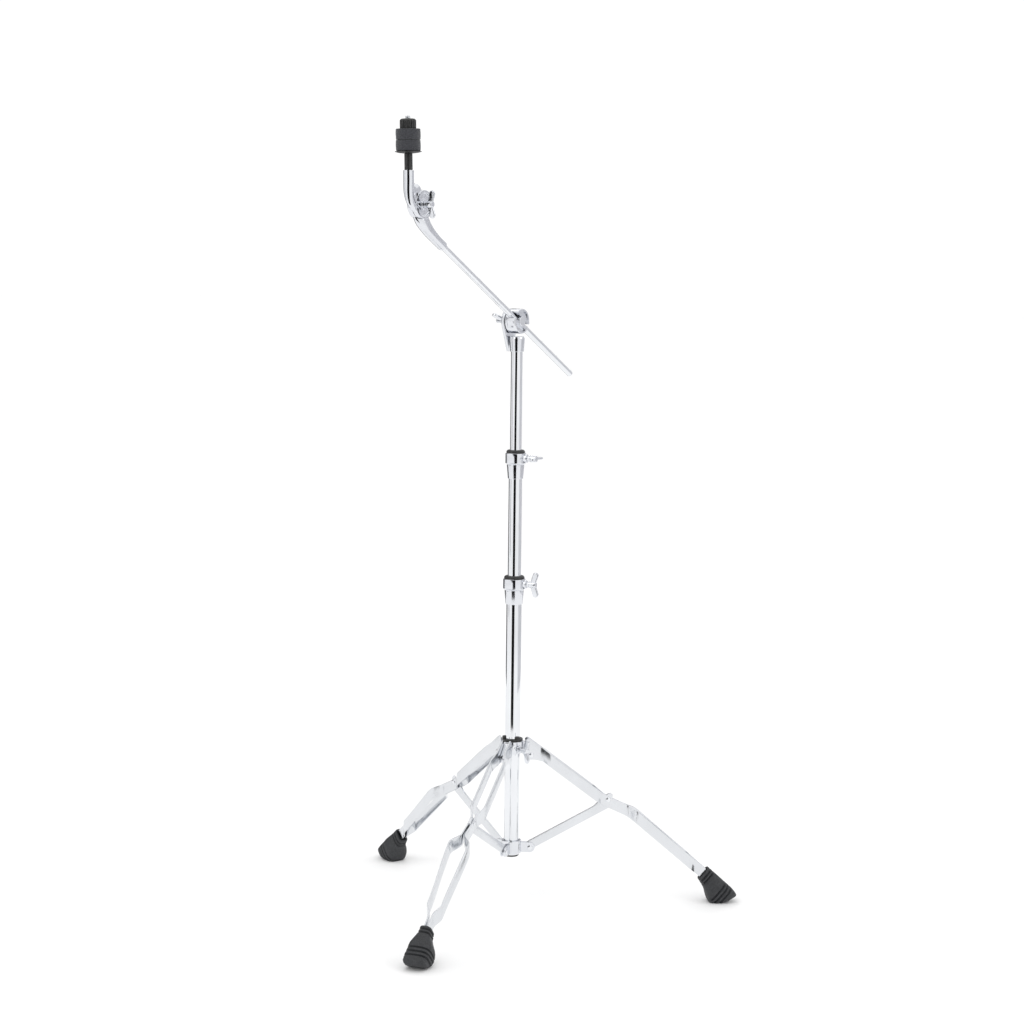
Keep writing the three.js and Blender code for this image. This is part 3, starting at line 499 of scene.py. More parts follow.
def wingBolt(name, node, body, jointName, size, tip, head, wingAxis=None):
    axis = jointAxis[jointName]
    wing = wingAxis or wingDirection(node, axis)
    place = placeAt(jointPlace[jointName], axis, wing.cross(axis))
    neck = size["shaft"] + 1.2
    shells = wingShells(size, head)
    shells.append(moveShell(latheShell(softened(
        [(0, head - size["neck"]), (neck, head - size["neck"]), (neck, head + 1), (0, head + 1)],
        0.5, 3), 40), alongX))
    shells.append(moveShell(threadShell(size["shaft"], tip, head - size["neck"] + 0.5), alongX))
    addPiece(name, shells, place, body, "chrome_cast", [node])


lockWings = {"shaft": 3.6, "neck": 4.5, "span": 42, "hub": 6, "lobe": 5.2, "thickness": 4.2, "rake": 5}
hubWings = {"shaft": 3.6, "neck": 8, "span": 41, "hub": 5.6, "lobe": 5.2, "thickness": 4.2, "rake": 5}
tilterWings = {"shaft": 3.8, "neck": 3, "span": 43, "hub": 6, "lobe": 5.2, "thickness": 4.2, "rake": 5}
nutWings = {"span": 44, "hub": 6.4, "lobe": 5.4, "thickness": 4.4, "rake": 9}


def buildColumn():
    for name, size in tubes.items():
        buildTube(name, size)
    for prefix, tubeNode, innerNode, body in (
            ("lowerLock", "lower_tube", "mid_tube", "column"),
            ("upperLock", "mid_tube", "upper_tube", "mid_section")):
        stem = "lower_lock" if prefix == "lowerLock" else "upper_lock"
        jointName = f"{stem}_bolt_turn"
        end = buildLock(prefix, tubeNode, innerNode, f"{stem}_collar", body, jointName)
        tip = radiusOf(innerNode) + gap
        wingBolt(f"{prefix}WingBolt", f"{stem}_wing_bolt", f"{stem}_bolt", jointName, lockWings, tip,
                 end + lockWings["neck"])
    low, high = span("bottom_plug")
    outer = radiusOf("bottom_plug")
    spigot = radiusOf("lower_tube") - 1.5
    under = tubeLow.z / mm - gap
    plug = [(0, low), (outer - 1.3, low), (outer, low + 1.3), (outer, under), (spigot, under),
            (spigot, high), (0, high)]
    addPiece("bottomPlug", [latheShell(softened(plug, 0.5, 3), 72)], upright, "column", "black_nylon",
             ["bottom_plug"])
    for node in ("mid_tube_guide", "upper_tube_guide"):
        frame["nodes"][node].data.materials.clear()
        frame["nodes"][node].data.materials.append(finishes["black_nylon"])
    print("column ready")


tripod = {"pivot": 31.0, "knee": 164.0, "hubRise": 15.0, "shoulder": (207.0, 157.5), "fall": 0.866,
          "end": 346.0}
strip = {"thickness": 2.4, "height": 17.5, "blends": (9.0, 15.0), "stations": 150}
bowing = {"upper": 12.0, "lower": 17.0, "lowerEnd": 12.2, "foot": 3.2}
hubSize = {"body": 20.0, "wall": 3.4, "bushWall": 1.6, "eye": 9.0, "lug": 10.6, "flange": 3.6,
           "boss": 6.5, "reach": 4.0}
braceSize = {"thickness": 3.0, "height": 15.0, "footRise": 3.5, "kneeDrop": 7.0, "overrun": 8.0}
bracketSize = {"wall": 3.5, "ear": 2.4, "eye": 8.5}
boot = {"neck": 330.0, "length": 69.0, "sides": 56, "stations": 150, "groove": 2.9, "grooveHalf": 1.7,
        "grooves": (6.0, 12.0, 39.0, 46.0, 53.0)}

hubPivotZ = jointPlace["hub_slide_pivot"].z / mm
bracketPivotZ = jointPlace["leg_fold"].z / mm
kneeZ = (hubPivotZ + bracketPivotZ) / 2
kneeGap = braceSize["thickness"] / 2 + gap + strip["thickness"] / 2
hubGap = hubSize["lug"] / 2 + gap + strip["thickness"] / 2


def smooth(x, a, b):
    t = max(0.0, min(1.0, (x - a) / (b - a)))
    return t * t * (3 - 2 * t)


# Straight runs whose corners are rounded over a half width.
def softLine(points, widths):
    slopes = [(b[1] - a[1]) / (b[0] - a[0]) for a, b in zip(points, points[1:])]

    def height(x):
        run = 0
        while run < len(points) - 2 and x > points[run + 1][0]:
            run += 1
        z = points[run][1] + slopes[run] * (x - points[run][0])
        for corner in range(1, len(points) - 1):
            width = widths[corner - 1]
            inside = width - abs(x - points[corner][0])
            if inside > 0:
                z += (slopes[corner] - slopes[corner - 1]) * inside * inside / (4 * width)
        return z
    return height


def softSteps(points):
    def value(x):
        run = 0
        while run < len(points) - 2 and x > points[run + 1][0]:
            run += 1
        (x0, a), (x1, b) = points[run], points[run + 1]
        return a + (b - a) * smooth(x, x0, x1)
    return value


shoulder = tripod["shoulder"]
legLine = softLine(
    [(tripod["pivot"], hubPivotZ + tripod["hubRise"]), (tripod["knee"] - 6, kneeZ - 1.5), shoulder,
     (tripod["end"], shoulder[1] - tripod["fall"] * (tripod["end"] - shoulder[0]))], strip["blends"])
legBow = softSteps([
    (tripod["pivot"] + 15, hubGap), (tripod["pivot"] + 33, bowing["upper"]),
    (tripod["knee"] - 24, bowing["upper"]), (tripod["knee"] - 8, kneeGap),
    (shoulder[0] - 11, kneeGap), (shoulder[0] + 7, bowing["lower"]),
    (boot["neck"] - 27, bowing["lowerEnd"]), (boot["neck"] - 12, bowing["foot"]),
    (tripod["end"], bowing["foot"])])


# A flat section on edge with rounded corners.
def stripRing(r, middle, low, high, thickness, edge=0.7):
    half = thickness / 2
    outline = softened([(middle - half, low), (middle + half, low), (middle + half, high),
                        (middle - half, high)],
                       edge, 3, True)
    return [(r, y, z) for y, z in outline]


def legStrip(way):
    start = tripod["pivot"] - 9
    rings = []
    for step in range(strip["stations"] + 1):
        r = start + (tripod["end"] - start) * step / strip["stations"]
        slope = (legLine(r + 1) - legLine(r - 1)) / 2
        half = strip["height"] / 2 * math.hypot(1, slope)
        nearHub = max(0.0, min(1.3, (tripod["pivot"] + 30 - r) / 30))
        rounding = 7 * max(0.0, 1 - (r - start) / 7) ** 2
        lowest = hubPivotZ - hubSize["eye"] - 2 if nearHub > 0 else 0
        high = legLine(r) + half - rounding
        lower = legLine(r) - half
        low = max(lower - 12 * nearHub * nearHub, min(lower, lowest)) + rounding
        middle = way * legBow(max(r, tripod["pivot"] + 15))
        rings.append(stripRing(r, middle, low, high, strip["thickness"]))
    return loftShell(rings)


def braceStrip():
    start = tripod["pivot"] - braceSize["overrun"]
    end = tripod["knee"] + braceSize["overrun"]
    a = (tripod["pivot"], bracketPivotZ + braceSize["footRise"])
    b = (tripod["knee"], kneeZ - braceSize["kneeDrop"])
    slope = (b[1] - a[1]) / (b[0] - a[0])
    half = braceSize["height"] / 2 * math.hypot(1, slope)
    rings = []
    for step in range(61):
        share = step / 60
        r = start + (end - start) * (share + 0.06 * math.sin(2 * math.pi * share))
        centre = a[1] + slope * (r - a[0])
        rounding = 6 * max(0.0, 1 - min(r - start, end - r) / 6) ** 2
        ear = (braceSize["kneeDrop"] + 1) * smooth(r, tripod["knee"] - 26, tripod["knee"] - 8)
        rings.append(stripRing(r, 0, centre - half + rounding, centre + half + ear - rounding,
                               braceSize["thickness"]))
    return loftShell(rings)


bootBelow = softLine(
    [(0, 13.2), (8, 15.4), (21, 19.8), (32, 27.4), (41, 32.2), (48, 27.6), (54, 22.4), (61, 15.4), (69, -5)],
    [3, 4, 5, 4, 3, 3, 3])
bootAbove = softLine([(0, 13.2), (60, 11.8), (69, 9.6)], [5])
bootWidth = softSteps([(0, 9.8), (9, 10.6), (34, 20.4), (50, 21), (60, 19.5), (70, 12)])


def bootShell():
    angle = math.atan(tripod["fall"])
    ahead = Vector((math.cos(angle), 0, -math.sin(angle)))
    up = Vector((math.sin(angle), 0, math.cos(angle)))
    origin = Vector((boot["neck"], 0, legLine(boot["neck"])))

    def ring(s, shrink, size=1.0):
        low = (-bootBelow(s) + shrink) * size
        high = (bootAbove(s) - shrink) * size
        width = (bootWidth(s) - shrink) * size
        points = []
        for step in range(boot["sides"]):
            turn = 2 * math.pi * (step + 0.5) / boot["sides"]
            c, n = math.cos(turn), math.sin(turn)
            across = width * math.copysign(abs(c) ** 0.6, c)
            height = (low + high) / 2 + (high - low) / 2 * math.copysign(abs(n) ** 0.6, n)
            point = origin + ahead * s + up * height
            points.append((point.x, across, max(0.0, point.z)))
        return points

    rings = [ring(4.0, 1.2, 0.80), ring(0.6, 1.0, 0.84)]
    for step in range(boot["stations"] + 1):
        s = boot["length"] * step / boot["stations"]
        dip = sum(boot["groove"] * max(0.0, 1 - abs(s - g) / boot["grooveHalf"]) ** 0.5
                  for g in boot["grooves"])
        fromEnd = min(s, (boot["length"] - s))
        lip = 1.6 * max(0.0, 1 - fromEnd / 1.6) ** 2
        rings.append(ring(s, dip + lip))
    return loftShell(rings)


def buildLegs():
    for number in (1, 2, 3):
        place = legPlace(number)
        body = f"leg_{number}"
        for side, way in (("left", 1), ("right", -1)):
            addPiece(f"leg{number}{side.capitalize()}Strip", [legStrip(way)], place, body, "chrome_strip",
                     [f"leg_{number}_{side}_strip"])
        addPiece(f"brace{number}", [braceStrip()], place, f"brace_{number}", "chrome_strip",
                 [f"brace_{number}"])
        addPiece(f"boot{number}", [bootShell()], place, body, "black_rubber", [f"foot_{number}"], 50)
    print("legs ready")


def buildHub():
    base = hubPivotZ + 4
    top = base + hubSize["body"]
    bushOuter = radiusOf("lower_tube") + gap + hubSize["bushWall"]
    bore = bushOuter + gap
    outer = bore + hubSize["wall"]
    shells = [latheShell(
        softened([(bore, base), (outer, base), (outer, top), (bore, top)], 1.2, 5, True), 96)]
    half = hubSize["lug"] / 2
    for number in (1, 2, 3):
        turn = upright.inverted() @ legPlace(number)
        lug = linkShell((outer, top - hubSize["eye"] - 1, hubSize["eye"] - 0.2),
                        (tripod["pivot"], hubPivotZ, hubSize["eye"]), -half, half, 1.3)
        shells.append(moveShell(lug, turn))
    end = outer + hubSize["reach"]
    boltAxis = jointAxis["hub_bolt_turn"]
    aim = (Matrix.Translation((0, 0, jointPlace["hub_bolt_turn"].z / mm))
           @ Matrix.Rotation(math.atan2(boltAxis.y, boltAxis.x), 4, "Z") @ alongX)
    boss = softened([(0, outer - 3), (hubSize["boss"], outer - 3), (hubSize["boss"], end), (0, end)], 1.2, 5)
    shells.append(moveShell(latheShell(boss, 48), aim))
    # The lugs stop at the bore, so the tube can pass.
    throat = latheShell([(0, base - 30), (bore, base - 30), (bore, top + 30), (0, top + 30)], 96)
    mesh = None
    for shell in shells[1:]:
        part = carve([shell], [throat], upright)
        if mesh is None:
            mesh = meshFrom([shells[0]], upright)
        work = bmesh.new()
        work.from_mesh(mesh)
        work.from_mesh(part)
        work.to_mesh(mesh)
        work.free()
    obj = bpy.data.objects.new("legHub", mesh)
    bpy.context.scene.collection.objects.link(obj)
    finishPiece(obj, "hub", "chrome_cast", ["leg_hub"])

    flangeTop = top + gap + hubSize["flange"]
    tube = radiusOf("lower_tube") + gap
    bush = [(tube, base), (bushOuter, base), (bushOuter, top + gap), (outer - 1, top + gap),
            (outer - 1, flangeTop), (tube, flangeTop)]
    bushHigh = span("hub_bush")[1]
    tools = [latheShell([(0, base - 5), (tube, base - 5), (tube, bushHigh + 9), (0, bushHigh + 9)], 96)]
    ears = []
    for number in (1, 2, 3):
        turn = upright.inverted() @ legPlace(number) @ Matrix.Rotation(math.radians(-60), 4, "Z")
        ear = softened([(0, flangeTop - 1.5), (4.6, flangeTop - 1.5), (4.6, bushHigh), (0, bushHigh)], 1.6, 6)
        ears.append(moveShell(latheShell(ear, 40), turn @ Matrix.Translation((outer - 5.6, 0, 0))))
    bushMesh = meshFrom([latheShell(softened(bush, 0.8, 4, True), 96)], upright)
    work = bmesh.new()
    work.from_mesh(bushMesh)
    for ear in ears:
        work.from_mesh(carve([ear], tools, upright))
    work.to_mesh(bushMesh)
    work.free()
    bushPiece = bpy.data.objects.new("hubBush", bushMesh)
    bpy.context.scene.collection.objects.link(bushPiece)
    finishPiece(bushPiece, "hub", "black_nylon", ["hub_bush"])
    wingBolt("hubWingBolt", "hub_wing_bolt", "hub_bolt", "hub_bolt_turn", hubWings, tube,
             end + hubWings["neck"])

    low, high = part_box("hub_set_screw")
    middle = (low + high) / 2
    outward = Vector((middle.x - columnX, middle.y - columnY, 0)).normalized()
    screwPlace = placeAt((columnX, columnY, middle.z), outward, Vector((0, 0, 1)).cross(outward))
    head = [(0, outer + 1.2), (1.6, outer + 1.2), (1.6, outer + 2.6), (3.1, outer + 2.6),
            (3.8, outer + 1.8), (3.8, outer + gap), (0, outer + gap)]
    shank = [(0, tube + 0.4), (2, tube + 0.4), (2, outer + 1), (0, outer + 1)]
    shells = [moveShell(latheShell(softened(head, 0.4, 3), 48), alongX),
              moveShell(latheShell(shank, 32), alongX)]
    addPiece("hubSetScrew", shells, screwPlace, "hub", "chrome_tube", ["hub_set_screw"])
    print("hub ready")


def buildBracket():
    low, high = span("brace_bracket")
    seat = radiusOf("lower_tube") + gap
    outer = seat + bracketSize["wall"]
    inner = braceSize["thickness"] / 2 + gap
    mesh = meshFrom([latheShell(
        softened([(seat, low), (outer, low), (outer, high), (seat, high)], 1.0, 4, True), 96)],
                    upright)
    throat = latheShell([(0, low - 9), (seat, low - 9), (seat, high + 9), (0, high + 9)], 96)
    work = bmesh.new()
    work.from_mesh(mesh)
    for number in (1, 2, 3):
        turn = upright.inverted() @ legPlace(number)
        for way in (-1, 1):
            near, far = sorted((way * inner, way * (inner + bracketSize["ear"])))
            ear = linkShell((seat + 3, bracketPivotZ + 1, bracketSize["eye"]),
                            (tripod["pivot"], bracketPivotZ, bracketSize["eye"]), near, far, 0.7, 4)
            work.from_mesh(carve([moveShell(ear, turn)], [throat], upright))
    work.to_mesh(mesh)
    work.free()
    obj = bpy.data.objects.new("braceBracket", mesh)
    bpy.context.scene.collection.objects.link(obj)
    finishPiece(obj, "column", "chrome_cast", ["brace_bracket"])
    print("bracket ready")


# A rivet along Y on each point: a shank and two domed heads, sized by named inputs.
def rivetTree():
    tree = bpy.data.node_groups.new("rivets", "GeometryNodeTree")
    face = tree.interface
    face.new_socket("Geometry", in_out="INPUT", socket_type="NodeSocketGeometry")
    for label, value in (("Half Grip", 0.003), ("Shank Radius", 0.0028), ("Head Radius", 0.0046),
                         ("Head Rise", 0.0019)):
        entry = face.new_socket(label, in_out="INPUT", socket_type="NodeSocketFloat")
        entry.default_value = value
    face.new_socket("Turn", in_out="INPUT", socket_type="NodeSocketVector")
    face.new_socket("Finish", in_out="INPUT", socket_type="NodeSocketMaterial")
    face.new_socket("Geometry", in_out="OUTPUT", socket_type="NodeSocketGeometry")
    nodes, links = tree.nodes, tree.links
    source = nodes.new("NodeGroupInput")
    result = nodes.new("NodeGroupOutput")
    shank = nodes.new("GeometryNodeMeshCylinder")
    shank.inputs["Vertices"].default_value = 32
    links.new(source.outputs["Shank Radius"], shank.inputs["Radius"])
    twice = nodes.new("ShaderNodeMath")
    twice.operation = "MULTIPLY"
    twice.inputs[1].default_value = 2
    links.new(source.outputs["Half Grip"], twice.inputs[0])
    links.new(twice.outputs[0], shank.inputs["Depth"])
    join = nodes.new("GeometryNodeJoinGeometry")
    links.new(shank.outputs["Mesh"], join.inputs[0])
    for way in (-1, 1):
        dome = nodes.new("GeometryNodeMeshUVSphere")
        dome.inputs["Segments"].default_value = 32
        dome.inputs["Rings"].default_value = 20
        dome.inputs["Radius"].default_value = 1
        size = nodes.new("ShaderNodeCombineXYZ")
        links.new(source.outputs["Head Radius"], size.inputs["X"])
        links.new(source.outputs["Head Radius"], size.inputs["Y"])
        links.new(source.outputs["Head Rise"], size.inputs["Z"])
        offset = nodes.new("ShaderNodeMath")
        offset.operation = "MULTIPLY"
        offset.inputs[1].default_value = way
        links.new(source.outputs["Half Grip"], offset.inputs[0])
        spot = nodes.new("ShaderNodeCombineXYZ")
        links.new(offset.outputs[0], spot.inputs["Z"])
        move = nodes.new("GeometryNodeTransform")
        links.new(dome.outputs["Mesh"], move.inputs["Geometry"])
        links.new(size.outputs[0], move.inputs["Scale"])
        links.new(spot.outputs[0], move.inputs["Translation"])
        links.new(move.outputs["Geometry"], join.inputs[0])
    place = nodes.new("GeometryNodeInstanceOnPoints")
    links.new(source.outputs["Geometry"], place.inputs["Points"])
    links.new(join.outputs["Geometry"], place.inputs["Instance"])
    links.new(source.outputs["Turn"], place.inputs["Rotation"])
    realize = nodes.new("GeometryNodeRealizeInstances")
    links.new(place.outputs["Instances"], realize.inputs["Geometry"])
    paint = nodes.new("GeometryNodeSetMaterial")
    links.new(realize.outputs["Geometry"], paint.inputs["Geometry"])
    links.new(source.outputs["Finish"], paint.inputs["Material"])
    links.new(paint.outputs["Geometry"], result.inputs["Geometry"])
    return tree


# Memory pips: small domes in a row along the arm.
def pipTree():
    tree = bpy.data.node_groups.new("memoryPips", "GeometryNodeTree")
    face = tree.interface
    face.new_socket("Geometry", in_out="INPUT", socket_type="NodeSocketGeometry")
    count = face.new_socket("Count", in_out="INPUT", socket_type="NodeSocketInt")
    count.default_value = 9
    face.new_socket("Start", in_out="INPUT", socket_type="NodeSocketVector")
    face.new_socket("Step", in_out="INPUT", socket_type="NodeSocketVector")
    radius = face.new_socket("Radius", in_out="INPUT", socket_type="NodeSocketFloat")
    radius.default_value = 0.0017
    face.new_socket("Finish", in_out="INPUT", socket_type="NodeSocketMaterial")
    face.new_socket("Geometry", in_out="OUTPUT", socket_type="NodeSocketGeometry")
    nodes, links = tree.nodes, tree.links
    source = nodes.new("NodeGroupInput")
    result = nodes.new("NodeGroupOutput")
    row = nodes.new("GeometryNodeMeshLine")
    row.mode = "OFFSET"
    links.new(source.outputs["Count"], row.inputs["Count"])
    links.new(source.outputs["Start"], row.inputs["Start Location"])
    links.new(source.outputs["Step"], row.inputs["Offset"])
    dome = nodes.new("GeometryNodeMeshUVSphere")
    dome.inputs["Segments"].default_value = 20
    dome.inputs["Rings"].default_value = 12
    links.new(source.outputs["Radius"], dome.inputs["Radius"])
    place = nodes.new("GeometryNodeInstanceOnPoints")
    links.new(row.outputs["Mesh"], place.inputs["Points"])
    links.new(dome.outputs["Mesh"], place.inputs["Instance"])
    realize = nodes.new("GeometryNodeRealizeInstances")
    links.new(place.outputs["Instances"], realize.inputs["Geometry"])
    join = nodes.new("GeometryNodeJoinGeometry")
    links.new(source.outputs["Geometry"], join.inputs[0])
    links.new(realize.outputs["Geometry"], join.inputs[0])
    paint = nodes.new("GeometryNodeSetMaterial")
    links.new(join.outputs["Geometry"], paint.inputs["Geometry"])
    links.new(source.outputs["Finish"], paint.inputs["Material"])
    links.new(paint.outputs["Geometry"], result.inputs["Geometry"])
    return tree


# Runs a tree on a mesh and returns the plain mesh that it makes.
def grown(mesh, tree, values):
    obj = bpy.data.objects.new("grown", mesh)
    bpy.context.scene.collection.objects.link(obj)
    modifier = obj.modifiers.new("grow", "NODES")
    modifier.node_group = tree
    sockets = {item.name: item.identifier for item in tree.interface.items_tree if item.in_out == "INPUT"}
    for label, value in values.items():
        modifier[sockets[label]] = value
    graph = bpy.context.evaluated_depsgraph_get()
    result = bpy.data.meshes.new_from_object(obj.evaluated_get(graph))
    bpy.data.objects.remove(obj)
    return result


rivets = {"shank": 2.8, "head": 4.3, "rise": 1.5, "footShank": 2.0, "footHead": 3.2, "footRise": 0.9}


def rivetMesh(tree, node, number, grip, shank, head, rise):
    low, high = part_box(node)
    spot = bpy.data.meshes.new("spot")
    spot.from_pydata([(low + high) / 2], [], [])
    side = legPlace(number).to_3x3() @ Vector((0, 1, 0))
    turn = Vector((0, 0, 1)).rotation_difference(side.normalized()).to_euler()
    return grown(spot, tree, {
        "Half Grip": grip * mm, "Shank Radius": shank * mm, "Head Radius": head * mm, "Head Rise": rise * mm,
        "Turn": (turn.x, turn.y, turn.z), "Finish": finishes["chrome_tube"]})


def buildRivets():
    tree = rivetTree()
    half = strip["thickness"] / 2 + gap
    kinds = {
        "hub": (hubGap + half, rivets["shank"], rivets["head"], rivets["rise"]),
        "knee": (kneeGap + half, rivets["shank"], rivets["head"], rivets["rise"]),
        "bracket": (braceSize["thickness"] / 2 + bracketSize["ear"] + 2 * gap,
                    rivets["shank"], rivets["head"], rivets["rise"]),
        "foot": (bowing["foot"] + half, rivets["footShank"], rivets["footHead"], rivets["footRise"])}
    groups = {
        "hubRivets": ("hub", [("hub", n) for n in (1, 2, 3)]),
        "bracketRivets": ("column", [("bracket", n) for n in (1, 2, 3)]),
        "leg1Rivets": ("leg_1", [("knee", 1), ("foot", 1)]),
        "leg2Rivets": ("leg_2", [("knee", 2), ("foot", 2)]),
        "leg3Rivets": ("leg_3", [("knee", 3), ("foot", 3)])}
    for name, (body, members) in groups.items():
        meshes = [rivetMesh(tree, f"{kind}_rivet_{number}", number, *kinds[kind]) for kind, number in members]
        obj = bpy.data.objects.new(name, joinMeshes(meshes))
        bpy.context.scene.collection.objects.link(obj)
        finishPiece(obj, body, "chrome_tube", [f"{kind}_rivet_{number}" for kind, number in members])
    print("rivets ready")


holder = {"radius": 20.5, "front": 10.5, "back": 10.8, "pocket": 3.0, "rim": 3.4}
eyeBolt = {"radius": 8.0, "proud": 0.6, "shaft": 4.0, "reach": 41.0}
tilterBase = {"lower": 11.3, "upper": 12.8, "ear": 6.0, "washer": 0.9, "foot": 6.0}
arm = {"radius": 5.0, "pip": 1.7, "pitch": 50.8}
armRoom = arm["radius"] + gap + 0.1
earStart = holder["back"] + gap + tilterBase["washer"] + gap
keyway = blockShell(-30, 30, -2.2, 2.2, 0, arm["radius"] + arm["pip"] + 0.4)


def buildTilterBase():
    low = span("boom_tilter_base")[0]
    pivotZ = boomPivot.z / mm
    tubeTop = span("upper_tube")[1]
    top = low + 25
    seat = radiusOf("upper_tube") + gap
    collar = softened([(0, low), (tilterBase["lower"], low), (tilterBase["upper"], top - 4),
                       (tilterBase["upper"] - 1.5, top), (0, top)], 0.9, 6)
    earEnd = earStart + tilterBase["ear"]
    ear = linkShell((0, pivotZ, holder["radius"]), (0, low + tilterBase["foot"], tilterBase["foot"]),
                    earStart, earEnd, 1.3)
    web = blockShell(-tilterBase["foot"] + 0.4, tilterBase["foot"] - 0.4, 5, earEnd - 1, low + 0.6, top - 1.4)
    throat = latheShell([(0, low - 9), (seat, low - 9), (seat, tubeTop + gap), (0, tubeTop + gap)], 96)
    solids = [latheShell(collar, 96)]
    mesh = carve(solids, [throat], upright)
    extra = [carve([web], [throat], upright, 0.8), meshFrom([ear], upright)]
    obj = bpy.data.objects.new("boomTilterBase", joinMeshes([mesh, *extra]))
    bpy.context.scene.collection.objects.link(obj)
    finishPiece(obj, "upper_section", "chrome_cast", ["boom_tilter_base"])


# The D-shaped hollow on one side of the arm's channel.
def pocketShell(way):
    reach = holder["radius"] - holder["rim"]
    sill = armRoom + 3
    start = math.asin(sill / reach)
    outline = []
    for step in range(31):
        angle = start + (math.pi - 2 * start) * step / 30
        outline.append((reach * math.cos(angle), way * reach * math.sin(angle)))
    rounded = softened(outline, 2.0, 5, True)
    rings = []
    for y, grow in ((-holder["front"] - 2, 0.0), (-holder["front"] + holder["pocket"], -0.6)):
        rings.append([(x * (1 + grow / 20), y, z * (1 + grow / 20)) for x, z in rounded])
    return loftShell(rings)


def buildHolder():
    radius, front, back = holder["radius"], holder["front"], holder["back"]
    puck = softened([(0, -front), (radius, -front), (radius, back), (0, back)], 1.8, 6)
    solids = [moveShell(latheShell(puck, 128), alongY)]
    channel = blockShell(-radius - 9, radius + 9, -front - 9, 0, -armRoom, armRoom)
    trough = moveShell(latheShell([(0, -40), (armRoom, -40), (armRoom, 40), (0, 40)], 64), alongX)
    slope = math.atan2(-boomAlong.z, boomAlong.x)
    side = moveShell(blockShell(-radius - 6, -radius + 1.4, -5.5, 6.5, -5.5, 5.5),
                     Matrix.Rotation(-slope - math.radians(14), 4, "Y"))
    tools = [channel, trough, keyway, pocketShell(1), pocketShell(-1), side]
    addCarved("boomHolder", solids, tools, boomPlace, "holder", "chrome_cast", ["boom_holder"], (), 0.45)

    reach = eyeBolt["reach"]
    eye = softened([(0, -front - eyeBolt["proud"]), (eyeBolt["radius"], -front - eyeBolt["proud"]),
                    (eyeBolt["radius"], back - 0.4), (0, back - 0.4)], 0.8, 4)
    shells = [moveShell(latheShell(eye, 64), alongY)]
    shaft = [moveShell(threadShell(eyeBolt["shaft"], back - 2, reach), alongY)]
    addCarved("boomEyeBolt", shells, [trough, keyway], boomPlace, "holder", "chrome_tube", ["boom_eye_bolt"],
              shaft, 0.3)

    near = back + gap
    ring = [(eyeBolt["shaft"] + gap, near), (radius - 2, near), (radius - 2, near + tilterBase["washer"]),
            (eyeBolt["shaft"] + gap, near + tilterBase["washer"])]
    addPiece("frictionWasher", [moveShell(latheShell(softened(ring, 0.2, 2, True), 72), alongY)], boomPlace,
             frameBody("tilter_friction_washer"), "black_nylon", ["tilter_friction_washer"])

    start = earStart + tilterBase["ear"] + gap
    axis = jointAxis["holder_nut_turn"]
    wing = wingDirection("tilter_wing_nut", axis)
    nutPlace = placeAt(boomPivot, axis, wing.cross(axis))
    bore = moveShell(latheShell(
        [(0, start - 9), (4.3, start - 9), (4.3, start + 40), (0, start + 40)], 48), alongX)
    mesh = joinMeshes([carve([shell], [bore], nutPlace) for shell in wingShells(nutWings, start)])
    nut = bpy.data.objects.new("tilterWingNut", mesh)
    bpy.context.scene.collection.objects.link(nut)
    finishPiece(nut, "holder_nut", "chrome_cast", ["tilter_wing_nut"])
    print("boom tilter ready")


def frameBody(node):
    return frame["nodes"][node]["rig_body"]


def buildArm():
    corners = [boomPlace.inverted() @ v.co for v in frame["nodes"]["boom_arm"].data.vertices]
    head = min(p.x for p in corners)
    tail = max(p.x for p in corners)
    bar = softened([(0, head), (arm["radius"], head), (arm["radius"], tail), (0, tail)], 1.4, 5)
    mesh = meshFrom([moveShell(latheShell(bar, 64), alongX)], boomPlace)
    first = tail - 2
    count = 0
    while first - count * arm["pitch"] > -236 + 6:
        count += 1
    start = boomPlace @ Vector((first, 0, arm["radius"] - 0.05))
    step = boomAlong * (-arm["pitch"] * mm)
    result = grown(mesh, pipTree(), {
        "Count": count, "Start": tuple(start), "Step": tuple(step), "Radius": arm["pip"] * mm,
        "Finish": finishes["chrome_tube"]})
    obj = bpy.data.objects.new("boomArm", result)
    bpy.context.scene.collection.objects.link(obj)
    finishPiece(obj, "arm", "chrome_tube", ["boom_arm"])
    print("arm ready")


jointSize = {"disc": 22.0, "plate": 8.6, "split": 0.4, "slit": 0.7, "rim": 4.0, "boss": 8.6, "recess": 3.0}
socket = {"end": -236.0, "radius": 8.0, "pin": -258.0}
stem = {"top": 52.0, "radius": 8.2, "bore": 26.0}
pinRadius = 1.5


# A cast arm: oval sections along a curve in XZ. A station is (x, y, z, in-plane, across).
def castShell(stations, steps=60, count=48):
    def at(t):
        position = t * (len(stations) - 1)
        i = min(int(position), len(stations) - 2)
        u = position - i
        knots = [stations[max(0, min(len(stations) - 1, i + k))] for k in (-1, 0, 1, 2)]
        values = []
        for a, b, c, d in zip(*knots):
            values.append(0.5 * (2 * b + (c - a) * u + (2 * a - 5 * b + 4 * c - d) * u * u
                                 + (3 * b - a - 3 * c + d) * u ** 3))
        return values

    rings = []
    for step in range(steps + 1):
        t = step / steps
        x, y, z, inPlane, across = at(t)
        before, after = at(max(0, t - 0.004)), at(min(1, t + 0.004))
        along = Vector((after[0] - before[0], 0, after[2] - before[2])).normalized()
        normal = Vector((-along.z, 0, along.x))
        ring = []
        for corner in range(count):
            angle = 2 * math.pi * corner / count
            point = Vector((x, y, z)) + normal * (inPlane * math.cos(angle))
            ring.append((point.x, point.y + across * math.sin(angle), point.z))
        rings.append(ring)
    return loftShell(rings)


